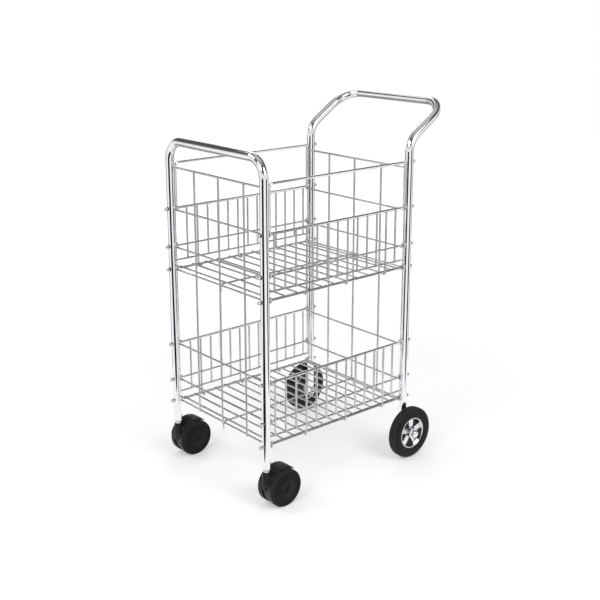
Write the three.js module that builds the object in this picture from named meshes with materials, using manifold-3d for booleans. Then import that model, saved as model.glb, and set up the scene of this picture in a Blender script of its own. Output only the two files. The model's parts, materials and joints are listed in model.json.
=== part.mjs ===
import * as THREE from 'three';
import { mergeVertices } from 'three/addons/utils/BufferGeometryUtils.js';
import Module from 'manifold-3d';

// Mobile file cart with two wire baskets, in millimetres.
// X is the width, +Y points to the push handle, Z is up and the floor is z = 0.
// Left is -X and right is +X, as seen from the front.

// Frame tubes
const POST_SPACING_X = 386;
const POST_SPACING_Y = 480;
const LOOP_TUBE_D = 22.2;
const LOOP_WALL = 1.5;
const LOOP_RISE = 59;
const LOOP_BEND_R = 48;
const REAR_POST_D = 22.2;
const REAR_POST_WALL = 1.5;
const REAR_NECK_D = 19;
const REAR_NECK_TAPER = 3;
const REAR_POST_BELOW_KNEE = 5.7;
const REAR_POST_BELOW_AXLE = 14;

// Push handle, slipped over the necks of the rear posts
const HANDLE_WALL = 1.3;
const HANDLE_SLEEVE_DROP = 35;
const HANDLE_KNEE_RISE = 54;
const HANDLE_BAR_RISE = 90;
const HANDLE_REACH = 134;
const HANDLE_KNEE_R = 55;
const HANDLE_BAR_R = 65;

// Wire work
const WIRE_D = 5.2;
const RAIL_D = 8;
const LOWER_FLOOR_Z = 165;
const FLOOR_RISE = 370;
const BASKET_RAIL_RISE = 162;
const BASKET_WIRE_A_RISE = 61;
const BASKET_WIRE_B_RISE = 22;
const FILE_RAIL_D = 7;
const FILE_RAIL_RISE = 281;
const FILE_RAIL_BEND_R = 12;
const PANEL_TOP_DROP = 13;
const PANEL_UPRIGHT_X = 102;
const SIDE_UPRIGHTS = 13;
const SIDE_UPRIGHT_FIRST = 26;
const SIDE_UPRIGHT_PITCH = 33.7;
const SIDE_HOOK_EVERY = 4;
const LOWER_CROSS_WIRES = 14;
const UPPER_CROSS_WIRES = 12;
const MIDDLE_HOOK_DROP = 20;
const CROSS_CLEARANCE = 0.8;
const WIRE_OVERRUN = 2;

// Cap nuts and the rod ends inside them
const STUD_IN_NUT = 6.6;
const NUT_BORE_CLEARANCE = 0.9;
const NUT_CROWN = 2.8;
const NUT_WALL = 2.45;
const NUT_HEX_H = 5;
const NUT_SHOULDER_INSET = 1.45;
const NUT_SHOULDER_DROP = 1.9;

// Front casters
const CASTER_WHEEL_D = 98;
const CASTER_WHEEL_W = 15.5;
const CASTER_SHOULDER = 4;
const CASTER_DISC_INSET = 8;
const CASTER_DISC_DROP = 1;
const CASTER_FACE_T = 4.2;
const CASTER_GAP = 23;
const CASTER_TRAIL = 41;
const CASTER_HOOD_CLEARANCE = 1.8;
const CASTER_HOOD_WALL = 2.8;
const CASTER_HOOD_W = 44;
const CASTER_HOOD_FROM_DEG = 56;
const CASTER_HOOD_TO_DEG = 165;
const CASTER_WEB_INSET = 4;
const CASTER_AXLE_D = 8;
const STEM_D = 10.4;
const STEM_COLLAR_D = 17;
const STEM_COLLAR_H = 6.4;
const STEM_LENGTH_DOWN = 31;
const STEM_TIP_SETBACK = 2;
const SOCKET_FLANGE_H = 2.7;
const SOCKET_BELOW_ROD = 10;
const LEG_ABOVE_HOOD = 4.4;

// Rear wheels
const RIM_D = 86;
const RIM_WALL = 3.5;
const RIM_W = 23;
const HUB_D = 30;
const HUB_PROUD = 2;
const SPOKES = 5;
const SPOKE_TURN_DEG = -20;
const SPOKE_W = 16;
const SPOKE_T = 7;
const RIM_WEB_T = 2.2;
const TYRE_DEPTH = 27.7;
const TYRE_W = 29;
const TYRE_POST_CLEARANCE = 1.9;
const TYRE_BEAD_H = 6;
const TYRE_BEAD_TAPER = 2;
const TYRE_SIDE_DROP = 10;
const TYRE_SHOULDER_W = 24;
const TYRE_SHOULDER_DROP = 3;
const TYRE_CROWN_W = 17;
const STUB_AXLE_D = 10;
const STUB_HEAD_D = 16;
const STUB_HEAD_H = 6;
const AXLE_IN_CAP = 4.5;
const WHEEL_CAP_D = 20;
const WHEEL_CAP_CROWN = 6.2;
const WHEEL_CAP_DOME_H = 5;
const WHEEL_CAP_SHOULDER_DROP = 2;
const WHEEL_CAP_SHOULDER_INSET = 2.75;

// Fits and facets
const GAP = 0.3;
const WELD = 0.8;
const TUBE_SIDES = 12;
const WIRE_SIDES = 6;
const HOLE_SIDES = 6;
const AXLE_SIDES = 8;
const WHEEL_SIDES = 20;
const BEND_STEPS = 4;
const HOOD_STEPS = 9;
const WEB_STEPS = 12;
const MERGE_DISTANCE = 1e-4;

// Radii and wire fits
const LOOP_R = LOOP_TUBE_D / 2;
const REAR_POST_R = REAR_POST_D / 2;
const REAR_NECK_R = REAR_NECK_D / 2;
const HANDLE_BORE_R = REAR_NECK_R + GAP;
const HANDLE_R = HANDLE_BORE_R + HANDLE_WALL;
const WIRE_R = WIRE_D / 2;
const RAIL_R = RAIL_D / 2;
const FILE_RAIL_R = FILE_RAIL_D / 2;
const HOLE_R = WIRE_R + GAP;
const WIRE_PITCH = WIRE_D + GAP;
const WELD_STEP = 2 * WIRE_R * Math.cos(Math.PI / WIRE_SIDES) - WELD;
const PANEL_INSET = Math.max(LOOP_R, HANDLE_R) + GAP + WIRE_R;
const NUT_BORE_DEPTH = STUD_IN_NUT + NUT_BORE_CLEARANCE;
const NUT_H = NUT_BORE_DEPTH + NUT_CROWN;

// Posts in plan, with the whole length centred on the origin
const POST_X = POST_SPACING_X / 2;
const FRONT_REACH = LOOP_R + GAP + NUT_H;
const REAR_REACH = POST_SPACING_Y + HANDLE_REACH + HANDLE_R;
const FRONT_Y = (FRONT_REACH - REAR_REACH) / 2;
const REAR_Y = FRONT_Y + POST_SPACING_Y;
const MIDDLE_Y = (FRONT_Y + REAR_Y) / 2;

// Heights of the baskets, rails, loop and handle
const UPPER_FLOOR_Z = LOWER_FLOOR_Z + FLOOR_RISE;
const FLOOR_LEVELS = [LOWER_FLOOR_Z, UPPER_FLOOR_Z];
const ROD_RISES = [0, BASKET_WIRE_A_RISE, BASKET_RAIL_RISE];
const ROD_LEVELS = FLOOR_LEVELS.flatMap((floor) => ROD_RISES.map((rise) => floor + rise));
const FILE_RAIL_Z = UPPER_FLOOR_Z + FILE_RAIL_RISE;
const PANEL_TOP_Z = FILE_RAIL_Z - PANEL_TOP_DROP;
const LOOP_TOP_Z = FILE_RAIL_Z + LOOP_RISE;
const HANDLE_SLEEVE_Z = FILE_RAIL_Z - HANDLE_SLEEVE_DROP;
const REAR_SHOULDER_Z = HANDLE_SLEEVE_Z - GAP;
const HANDLE_KNEE_Z = FILE_RAIL_Z + HANDLE_KNEE_RISE;
const HANDLE_BAR_Z = HANDLE_KNEE_Z + HANDLE_BAR_RISE;
const KNEE_ANGLE = Math.atan2(HANDLE_REACH, HANDLE_BAR_RISE);
const KNEE_SETBACK = HANDLE_KNEE_R * Math.tan(KNEE_ANGLE / 2);
const REAR_POST_TOP_Z = HANDLE_KNEE_Z - KNEE_SETBACK - REAR_POST_BELOW_KNEE;

// Caster heights above the floor and depths along its axle
const CASTER_WHEEL_R = CASTER_WHEEL_D / 2;
const HOOD_INNER_R = CASTER_WHEEL_R + CASTER_HOOD_CLEARANCE;
const HOOD_R = HOOD_INNER_R + CASTER_HOOD_WALL;
const LOOP_FOOT_Z = CASTER_WHEEL_R + HOOD_R + LEG_ABOVE_HOOD;
const SOCKET_TOP = LOWER_FLOOR_Z - WIRE_R - SOCKET_BELOW_ROD;
const FLANGE_TOP = LOOP_FOOT_Z - GAP;
const FLANGE_BOTTOM = FLANGE_TOP - SOCKET_FLANGE_H;
const COLLAR_TOP = FLANGE_BOTTOM - GAP;
const COLLAR_BOTTOM = COLLAR_TOP - STEM_COLLAR_H;
const STEM_FOOT = COLLAR_BOTTOM - STEM_LENGTH_DOWN;
const STEM_TOP = SOCKET_TOP - STEM_TIP_SETBACK;
const BOSS_TOP = COLLAR_BOTTOM - GAP;
const BOSS_R = CASTER_GAP / 2 - 2 * GAP;
const CASTER_BORE_DEPTH = CASTER_WHEEL_W - CASTER_DISC_DROP - CASTER_FACE_T;

// Rear wheel sizes, measured outward from the post's axis
const BEAD_R = RIM_D / 2 + GAP;
const TYRE_R = BEAD_R + TYRE_DEPTH;
const TYRE_START = REAR_POST_R + TYRE_POST_CLEARANCE;
const WHEEL_CENTRE = TYRE_START + TYRE_W / 2;
const HUB_START = REAR_POST_R + GAP;
const HUB_END = TYRE_START + TYRE_W + HUB_PROUD;
const CAP_START = HUB_END + GAP;
const AXLE_END = CAP_START + AXLE_IN_CAP;
const CAP_BORE_END = AXLE_END + GAP;
const CAP_TIP = CAP_BORE_END + WHEEL_CAP_CROWN;

const Y_AXIS = new THREE.Vector3(0, 1, 0);

const wasm = await Module();
wasm.setup();

// Materials
const CHROME = { color: 0xdadde0, roughness: 0.12, metalness: 1 };
const STEEL = { color: 0xb9bdc2, roughness: 0.3, metalness: 1 };
const BLACK_PLASTIC = { color: 0x1d1e20, roughness: 0.45, metalness: 0 };
const BLACK_RUBBER = { color: 0x17181a, roughness: 0.75, metalness: 0 };

// Closed solid of a geometry, with shared corners merged
function solid(geometry) {
  geometry.deleteAttribute('normal');
  geometry.deleteAttribute('uv');
  const merged = mergeVertices(geometry, MERGE_DISTANCE);
  const corners = merged.index.array;
  const triangles = [];
  for (let i = 0; i < corners.length; i += 3) {
    const [a, b, c] = corners.slice(i, i + 3);
    if (a !== b && b !== c && c !== a) triangles.push(a, b, c);
  }
  return new wasm.Manifold(new wasm.Mesh({
    numProp: 3,
    vertProperties: new Float32Array(merged.attributes.position.array),
    triVerts: new Uint32Array(triangles),
  }));
}

function joined(solids) {
  return solids.reduce((whole, piece) => whole.add(piece));
}

function cutBy(body, cutters) {
  return cutters.reduce((rest, cutter) => rest.subtract(cutter), body);
}

// Geometry of a finished solid
function geometryOf(body) {
  const mesh = body.getMesh();
  const geometry = new THREE.BufferGeometry();
  geometry.setAttribute('position', new THREE.BufferAttribute(new Float32Array(mesh.vertProperties), 3));
  geometry.setIndex(new THREE.BufferAttribute(new Uint32Array(mesh.triVerts), 1));
  geometry.computeVertexNormals();
  return geometry;
}

function part(name, geometry, look) {
  const mesh = new THREE.Mesh(geometry, new THREE.MeshStandardMaterial(look));
  mesh.name = name;
  return mesh;
}

function point(x, y, z) {
  return new THREE.Vector3(x, y, z);
}

// Straight many-sided rod between two points; a turned rod has its sides half a step round
function rod(from, to, radius, sides = WIRE_SIDES, turned = false) {
  const along = to.clone().sub(from);
  const start = turned ? Math.PI / sides : 0;
  const geometry = new THREE.CylinderGeometry(radius, radius, along.length(), sides, 1, false, start);
  const turn = new THREE.Quaternion().setFromUnitVectors(Y_AXIS, along.clone().normalize());
  geometry.applyQuaternion(turn);
  geometry.translate(...from.clone().add(to).multiplyScalar(0.5).toArray());
  return solid(geometry);
}

// Rod whose flats, not corners, lie at the given radius
function holeCutter(from, to, radius, sides = HOLE_SIDES) {
  return rod(from, to, radius / Math.cos(Math.PI / sides), sides);
}

// Turned body about the Y axis from a list of radius and height pairs
function turnedBody(profile, sides) {
  const points = profile.map(([radius, height]) => new THREE.Vector2(radius, height));
  return solid(new THREE.LatheGeometry(points, sides));
}

// Wheel turned about the Y axis with a flat side down; its radii are measured to the flats
function wheelBody(profile) {
  const spread = 1 / Math.cos(Math.PI / WHEEL_SIDES);
  const spreadProfile = profile.map(([radius, height]) => [radius * spread, height]);
  return turnedBody(spreadProfile, WHEEL_SIDES).rotate([0, 180 / WHEEL_SIDES, 0]);
}

// Geometry of a body turned about Y, stood up along Z
function uprightGeometry(body) {
  return geometryOf(body).rotateX(Math.PI / 2);
}

// Geometry of a body turned about Y, laid along X
function axleGeometry(body) {
  return geometryOf(body).rotateZ(-Math.PI / 2);
}

function polygon(radius, sides) {
  return Array.from({ length: sides }, (_, i) => {
    const angle = (2 * Math.PI * i) / sides;
    return new THREE.Vector2(radius * Math.cos(angle), radius * Math.sin(angle));
  });
}

// Path that stops exactly at its stations, so straight runs need no extra rings
class StationPath extends THREE.Curve {
  constructor(stations) {
    super();
    this.stations = stations;
  }

  stationAt(u) {
    return this.stations[Math.round(u * (this.stations.length - 1))];
  }

  getPointAt(u, target = new THREE.Vector3()) {
    return target.copy(this.stationAt(u).place);
  }

  getTangentAt(u, target = new THREE.Vector3()) {
    return target.copy(this.stationAt(u).heading);
  }
}

// Stations along a line of corners, each inner corner rounded to its bend radius
function bentStations(corners, bendRadii) {
  const headings = corners.slice(1).map((corner, i) => corner.clone().sub(corners[i]).normalize());
  const stations = [{ place: corners[0], heading: headings[0] }];
  bendRadii.forEach((radius, i) => {
    const into = headings[i];
    const out = headings[i + 1];
    const turnAngle = into.angleTo(out);
    const setback = radius * Math.tan(turnAngle / 2);
    const axis = into.clone().cross(out).normalize();
    const start = corners[i + 1].clone().addScaledVector(into, -setback);
    const inward = axis.clone().cross(into);
    const centre = start.clone().addScaledVector(inward, radius);
    for (let step = 0; step <= BEND_STEPS; step += 1) {
      const angle = (turnAngle * step) / BEND_STEPS;
      const arm = start.clone().sub(centre).applyAxisAngle(axis, angle);
      stations.push({ place: centre.clone().add(arm), heading: into.clone().applyAxisAngle(axis, angle) });
    }
  });
  stations.push({ place: corners.at(-1), heading: headings.at(-1) });
  return stations;
}

// Bent round bar, or a tube when it has a bore
function bentTube(corners, bendRadii, radius, bore = 0, sides = TUBE_SIDES) {
  const stations = bentStations(corners, bendRadii);
  const section = new THREE.Shape(polygon(radius, sides));
  if (bore > 0) section.holes.push(new THREE.Path(polygon(bore, sides)));
  return solid(new THREE.ExtrudeGeometry(section, {
    steps: stations.length - 1,
    extrudePath: new StationPath(stations),
    bevelEnabled: false,
  }));
}

// Holes along Y through a post at the given heights
function postHoles(x, y, radius, levels) {
  const reach = 2 * radius;
  return levels.map((z) => holeCutter(point(x, y - reach, z), point(x, y + reach, z), HOLE_R));
}

function frontLoop() {
  const corners = [
    point(-POST_X, FRONT_Y, LOOP_FOOT_Z),
    point(-POST_X, FRONT_Y, LOOP_TOP_Z),
    point(POST_X, FRONT_Y, LOOP_TOP_Z),
    point(POST_X, FRONT_Y, LOOP_FOOT_Z),
  ];
  const tube = bentTube(corners, [LOOP_BEND_R, LOOP_BEND_R], LOOP_R, LOOP_R - LOOP_WALL);
  const holes = [-POST_X, POST_X].flatMap((x) => postHoles(x, FRONT_Y, LOOP_R, ROD_LEVELS));
  return geometryOf(cutBy(tube, holes));
}

// Rear post about its own axis, drawn in to a neck at the top, with rod holes and the stub axle hole
function rearPost() {
  const foot = TYRE_R - REAR_POST_BELOW_AXLE;
  const bore = REAR_POST_R - REAR_POST_WALL;
  const neckBore = REAR_NECK_R - REAR_POST_WALL;
  const taperEnd = REAR_SHOULDER_Z - REAR_POST_WALL;
  const tube = turnedBody([
    [bore, foot],
    [REAR_POST_R, foot],
    [REAR_POST_R, REAR_SHOULDER_Z],
    [REAR_NECK_R, REAR_SHOULDER_Z],
    [REAR_NECK_R, REAR_POST_TOP_Z],
    [neckBore, REAR_POST_TOP_Z],
    [neckBore, taperEnd],
    [bore, taperEnd - REAR_NECK_TAPER],
    [bore, foot],
  ], TUBE_SIDES).rotate([90, 0, 0]);
  const axleHole = holeCutter(
    point(-REAR_POST_D, 0, TYRE_R),
    point(REAR_POST_D, 0, TYRE_R),
    STUB_AXLE_D / 2 + GAP,
    AXLE_SIDES,
  );
  const rodHoles = postHoles(0, 0, REAR_POST_R, [...ROD_LEVELS, FILE_RAIL_Z]);
  return geometryOf(cutBy(tube, [axleHole, ...rodHoles]));
}

function pushHandle() {
  const barY = REAR_Y + HANDLE_REACH;
  const corners = [
    point(-POST_X, REAR_Y, HANDLE_SLEEVE_Z),
    point(-POST_X, REAR_Y, HANDLE_KNEE_Z),
    point(-POST_X, barY, HANDLE_BAR_Z),
    point(POST_X, barY, HANDLE_BAR_Z),
    point(POST_X, REAR_Y, HANDLE_KNEE_Z),
    point(POST_X, REAR_Y, HANDLE_SLEEVE_Z),
  ];
  const bends = [HANDLE_KNEE_R, HANDLE_BAR_R, HANDLE_BAR_R, HANDLE_KNEE_R];
  const tube = bentTube(corners, bends, HANDLE_R, HANDLE_BORE_R);
  const holes = [-POST_X, POST_X].flatMap((x) => postHoles(x, REAR_Y, HANDLE_R, [FILE_RAIL_Z]));
  return geometryOf(cutBy(tube, holes));
}

// Wire eye that goes round a rod along Y
function eye(x, y, z) {
  const inner = HOLE_R / Math.cos(Math.PI / HOLE_SIDES);
  const outer = HOLE_R + WIRE_D;
  const half = WIRE_R;
  const profile = [[inner, -half], [outer, -half], [outer, half], [inner, half], [inner, -half]];
  return turnedBody(profile, HOLE_SIDES).translate([x, y, z]);
}

// End panel in the plane of the given y; outward is -1 at the front and +1 at the rear
function endPanel(y, outward) {
  const wires = [];
  const eyeDrop = HOLE_R + WIRE_R;
  const wireEnd = POST_X - WIRE_R;
  for (const level of ROD_LEVELS) {
    const z = level - eyeDrop;
    wires.push(rod(point(-wireEnd, y, z), point(wireEnd, y, z), WIRE_R));
    wires.push(eye(-POST_X, y, level), eye(POST_X, y, level));
  }
  const topEnd = POST_X - FILE_RAIL_R - GAP;
  wires.push(rod(point(-topEnd, y, PANEL_TOP_Z), point(topEnd, y, PANEL_TOP_Z), WIRE_R));
  const uprightY = y + outward * WELD_STEP;
  const bottom = LOWER_FLOOR_Z - eyeDrop - WIRE_OVERRUN;
  const top = PANEL_TOP_Z + WIRE_OVERRUN;
  for (const x of [-PANEL_UPRIGHT_X, 0, PANEL_UPRIGHT_X]) {
    wires.push(rod(point(x, uprightY, bottom), point(x, uprightY, top), WIRE_R, WIRE_SIDES, true));
  }
  return geometryOf(joined(wires));
}

// Basket side about the middle of its floor rod; outward is -1 on the left and +1 on the right.
// Both sides are the same panel, so the left one has its uprights turned round.
function basketSide(outward) {
  const front = -POST_SPACING_Y / 2;
  const rear = POST_SPACING_Y / 2;
  const lengthwise = (z, from, to, radius) => rod(point(0, from, z), point(0, to, z), radius);
  const studFront = front - LOOP_R - GAP - STUD_IN_NUT;
  const studRear = rear + REAR_POST_R + GAP + STUD_IN_NUT;
  const wires = ROD_RISES.map((z) => lengthwise(z, studFront, studRear, WIRE_R));
  const railInset = PANEL_INSET + WIRE_R + GAP;
  wires.push(lengthwise(BASKET_RAIL_RISE, front + railInset, rear - railInset, RAIL_R));
  wires.push(lengthwise(BASKET_WIRE_B_RISE, front + LOOP_R + GAP, rear - REAR_POST_R - GAP, WIRE_R));
  const uprightX = outward * WELD_STEP;
  const hookTipX = -outward * 2 * WIRE_PITCH;
  const hookZ = -WIRE_PITCH;
  for (let i = 1; i <= SIDE_UPRIGHTS; i += 1) {
    const y = outward * (front + SIDE_UPRIGHT_FIRST + (i - 1) * SIDE_UPRIGHT_PITCH);
    const hooked = i % SIDE_HOOK_EVERY === 0;
    const bottom = (hooked ? hookZ : BASKET_WIRE_B_RISE) - WIRE_OVERRUN;
    wires.push(rod(point(uprightX, y, bottom), point(uprightX, y, BASKET_RAIL_RISE), WIRE_R));
    if (hooked) {
      wires.push(rod(point(hookTipX, y, hookZ), point(uprightX, y, hookZ), WIRE_R));
      wires.push(rod(point(hookTipX, y, hookZ - WIRE_OVERRUN), point(hookTipX, y, 0), WIRE_R));
    }
  }
  return geometryOf(joined(wires));
}

// Basket floor about its centre: cross wires over two edge wires and a hooked middle wire
function basketFloor(crossWires) {
  const half = POST_SPACING_Y / 2;
  const edgeX = POST_X - WIRE_PITCH;
  const crossY = half - PANEL_INSET - WIRE_D - CROSS_CLEARANCE;
  const edgeEnd = crossY + WIRE_OVERRUN;
  const flatRod = (from, to) => rod(from, to, WIRE_R, WIRE_SIDES, true);
  const wires = [-edgeX, edgeX].map((x) => flatRod(point(x, -edgeEnd, 0), point(x, edgeEnd, 0)));
  const middleX = WIRE_D + 2 * GAP;
  const hookY = half - PANEL_INSET + WIRE_PITCH;
  wires.push(flatRod(point(middleX, -hookY, 0), point(middleX, hookY, 0)));
  for (const y of [-hookY, hookY]) {
    wires.push(flatRod(point(middleX, y, -MIDDLE_HOOK_DROP), point(middleX, y, WIRE_R)));
  }
  const pitch = (2 * crossY) / (crossWires - 1);
  const crossEnd = edgeX + WIRE_R - GAP;
  for (let i = 0; i < crossWires; i += 1) {
    const y = -crossY + i * pitch;
    wires.push(flatRod(point(-crossEnd, y, WELD_STEP), point(crossEnd, y, WELD_STEP)));
  }
  return geometryOf(joined(wires));
}

// File rail in its own plane, with a bent front leg, a rear leg and a stud through the handle
function fileRail() {
  const legFoot = UPPER_FLOOR_Z + BASKET_RAIL_RISE + HOLE_R + WIRE_D + GAP;
  const frontLegY = FRONT_Y + LOOP_R + GAP + FILE_RAIL_R;
  const rearShoulderY = REAR_Y - HANDLE_R - GAP;
  const rearLegY = rearShoulderY - FILE_RAIL_R;
  const corners = [
    point(0, frontLegY, legFoot),
    point(0, frontLegY, FILE_RAIL_Z),
    point(0, rearShoulderY, FILE_RAIL_Z),
  ];
  const rail = bentTube(corners, [FILE_RAIL_BEND_R], FILE_RAIL_R, 0, AXLE_SIDES);
  const rearLegFoot = point(0, rearLegY, legFoot);
  const rearLegTop = point(0, rearLegY, FILE_RAIL_Z);
  const rearLeg = rod(rearLegFoot, rearLegTop, FILE_RAIL_R, AXLE_SIDES);
  const studEndY = REAR_Y + HANDLE_R + GAP + STUD_IN_NUT;
  const stud = rod(rearLegTop, point(0, studEndY, FILE_RAIL_Z), WIRE_R);
  return geometryOf(joined([rail, rearLeg, stud]));
}

// Cap nut standing on y = 0 and pointing along +Y
function capNut() {
  const bore = HOLE_R / Math.cos(Math.PI / WIRE_SIDES);
  const corner = bore + NUT_WALL;
  return geometryOf(turnedBody([
    [0, NUT_BORE_DEPTH],
    [bore, NUT_BORE_DEPTH],
    [bore, 0],
    [corner, 0],
    [corner, NUT_HEX_H],
    [corner - NUT_SHOULDER_INSET, NUT_H - NUT_SHOULDER_DROP],
    [0, NUT_H],
  ], WIRE_SIDES));
}

// Socket pressed into the foot of a front leg, about the leg's axis
function casterSocket() {
  const bore = STEM_D / 2 + GAP;
  const plug = LOOP_R - LOOP_WALL - GAP;
  return uprightGeometry(turnedBody([
    [bore, FLANGE_BOTTOM],
    [LOOP_R, FLANGE_BOTTOM],
    [LOOP_R, FLANGE_TOP],
    [plug, FLANGE_TOP],
    [plug, SOCKET_TOP],
    [bore, SOCKET_TOP],
    [bore, FLANGE_BOTTOM],
  ], TUBE_SIDES));
}

function casterStem() {
  const radius = STEM_D / 2;
  const collar = STEM_COLLAR_D / 2;
  return uprightGeometry(turnedBody([
    [0, STEM_FOOT],
    [radius, STEM_FOOT],
    [radius, COLLAR_BOTTOM],
    [collar, COLLAR_BOTTOM],
    [collar, COLLAR_TOP],
    [radius, COLLAR_TOP],
    [radius, STEM_TOP],
    [0, STEM_TOP],
  ], TUBE_SIDES));
}

// Points of an arc about the wheel centre in the Y, Z plane
function wheelArc(radius, fromDegrees, toDegrees, steps) {
  return Array.from({ length: steps + 1 }, (_, i) => {
    const angle = THREE.MathUtils.degToRad(fromDegrees + ((toDegrees - fromDegrees) * i) / steps);
    const y = CASTER_TRAIL + radius * Math.cos(angle);
    const z = CASTER_WHEEL_R + radius * Math.sin(angle);
    return new THREE.Vector2(y, z);
  });
}

// Slab of a Y, Z outline, centred across X
function slab(outline, width) {
  const shape = new THREE.Shape(outline);
  const geometry = new THREE.ExtrudeGeometry(shape, { depth: width, bevelEnabled: false });
  geometry.translate(0, 0, -width / 2);
  geometry.applyMatrix4(new THREE.Matrix4().makeBasis(point(0, 1, 0), point(0, 0, 1), point(1, 0, 0)));
  return solid(geometry);
}

// Caster housing about the swivel axis: middle web, curved hood and stem boss
function casterHousing() {
  const from = CASTER_HOOD_FROM_DEG;
  const to = CASTER_HOOD_TO_DEG;
  const web = slab([
    ...wheelArc(HOOD_R - WELD, from, to, HOOD_STEPS),
    ...wheelArc(CASTER_WHEEL_R - CASTER_WEB_INSET, to, 360 + from, WEB_STEPS),
  ], CASTER_GAP - 2 * GAP);
  const hood = slab([
    ...wheelArc(HOOD_R, from, to, HOOD_STEPS),
    ...wheelArc(HOOD_INNER_R, to, from, HOOD_STEPS),
  ], CASTER_HOOD_W);
  const boss = rod(point(0, 0, CASTER_WHEEL_R), point(0, 0, BOSS_TOP), BOSS_R, TUBE_SIDES);
  const stemHole = holeCutter(
    point(0, 0, STEM_FOOT - GAP),
    point(0, 0, COLLAR_TOP),
    STEM_D / 2 + GAP,
    TUBE_SIDES,
  );
  const axleHole = holeCutter(
    point(-CASTER_GAP, CASTER_TRAIL, CASTER_WHEEL_R),
    point(CASTER_GAP, CASTER_TRAIL, CASTER_WHEEL_R),
    CASTER_AXLE_D / 2 + GAP,
    AXLE_SIDES,
  );
  return geometryOf(cutBy(joined([web, hood, boss]), [stemHole, axleHole]));
}

// Caster wheel along +X from its inner face, with a blind bore for the axle
function casterWheel() {
  const bore = CASTER_AXLE_D / 2 + GAP;
  const tread = CASTER_WHEEL_R;
  const discFace = CASTER_WHEEL_W - CASTER_DISC_DROP;
  return axleGeometry(wheelBody([
    [0, CASTER_BORE_DEPTH],
    [bore, CASTER_BORE_DEPTH],
    [bore, 0],
    [tread - CASTER_SHOULDER / 2, 0],
    [tread, CASTER_SHOULDER / 2],
    [tread, CASTER_WHEEL_W - CASTER_SHOULDER],
    [tread - CASTER_SHOULDER / 2, CASTER_WHEEL_W - CASTER_SHOULDER / 4],
    [tread - CASTER_SHOULDER, CASTER_WHEEL_W],
    [tread - CASTER_DISC_INSET, discFace],
    [0, discFace],
  ]));
}

function casterAxle() {
  const half = CASTER_GAP / 2 + CASTER_BORE_DEPTH - GAP;
  return geometryOf(rod(point(-half, 0, 0), point(half, 0, 0), CASTER_AXLE_D / 2, AXLE_SIDES));
}

// Rear tyre, from its bead round one side to the tread and back down the other
function rearTyre() {
  const half = TYRE_W / 2;
  const side = [
    [BEAD_R, half - TYRE_BEAD_TAPER],
    [BEAD_R + TYRE_BEAD_H, half],
    [TYRE_R - TYRE_SIDE_DROP, half],
    [TYRE_R - TYRE_SHOULDER_DROP, TYRE_SHOULDER_W / 2],
    [TYRE_R, TYRE_CROWN_W / 2],
  ];
  const mirrored = side.map(([radius, height]) => [radius, -height]);
  const tyre = wheelBody([...mirrored, ...side.toReversed(), mirrored[0]]);
  return axleGeometry(tyre.translate([0, WHEEL_CENTRE, 0]));
}

// Rim ring, hub, spokes and the thin web behind them in one casting
function rearRim() {
  const outer = RIM_D / 2;
  const inner = outer - RIM_WALL;
  const half = RIM_W / 2;
  const ring = wheelBody([
    [inner, -half],
    [outer, -half],
    [outer, half],
    [inner, half],
    [inner, -half],
  ]).translate([0, WHEEL_CENTRE, 0]);
  const hub = rod(point(0, HUB_START, 0), point(0, HUB_END, 0), HUB_D / 2, TUBE_SIDES);
  const webBack = WHEEL_CENTRE - SPOKE_T / 2 - RIM_WEB_T;
  const webFront = WHEEL_CENTRE - SPOKE_T / 2 + WELD;
  const web = rod(point(0, webBack, 0), point(0, webFront, 0), inner + RIM_WALL / 2, WHEEL_SIDES, true);
  const firstSpoke = THREE.MathUtils.degToRad(SPOKE_TURN_DEG);
  const spokes = Array.from({ length: SPOKES }, (_, i) => {
    const length = inner + RIM_WALL / 2;
    const geometry = new THREE.BoxGeometry(length, SPOKE_T, SPOKE_W);
    geometry.translate(length / 2, WHEEL_CENTRE, 0);
    geometry.rotateY(firstSpoke + (2 * Math.PI * i) / SPOKES);
    return solid(geometry);
  });
  const bore = holeCutter(point(0, 0, 0), point(0, CAP_TIP, 0), STUB_AXLE_D / 2 + GAP, AXLE_SIDES);
  return axleGeometry(cutBy(joined([ring, hub, web, ...spokes]), [bore]));
}

// Stub axle, with its head on the inner face of the post
function stubAxle() {
  const headEnd = -REAR_POST_R - GAP;
  const headStart = headEnd - STUB_HEAD_H;
  const head = STUB_HEAD_D / 2;
  const radius = STUB_AXLE_D / 2;
  return axleGeometry(turnedBody([
    [0, headStart],
    [head, headStart],
    [head, headEnd],
    [radius, headEnd],
    [radius, AXLE_END],
    [0, AXLE_END],
  ], AXLE_SIDES));
}

function wheelCap() {
  const radius = WHEEL_CAP_D / 2;
  const bore = (STUB_AXLE_D / 2 + GAP) / Math.cos(Math.PI / AXLE_SIDES);
  return axleGeometry(turnedBody([
    [0, CAP_BORE_END],
    [bore, CAP_BORE_END],
    [bore, CAP_START],
    [radius, CAP_START],
    [radius, CAP_TIP - WHEEL_CAP_DOME_H],
    [radius - WHEEL_CAP_SHOULDER_INSET, CAP_TIP - WHEEL_CAP_SHOULDER_DROP],
    [0, CAP_TIP],
  ], TUBE_SIDES));
}

const cart = new THREE.Group();

function place(mesh, x, y, z) {
  mesh.position.set(x, y, z);
  cart.add(mesh);
  return mesh;
}

// Tubes
place(part('front_loop', frontLoop(), CHROME), 0, 0, 0);
place(part('push_handle', pushHandle(), CHROME), 0, 0, 0);
const SIDES = [['left', -1], ['right', 1]];
for (const [side, sign] of SIDES) {
  place(part(`rear_post_${side}`, rearPost(), CHROME), sign * POST_X, REAR_Y, 0);
}

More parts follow.
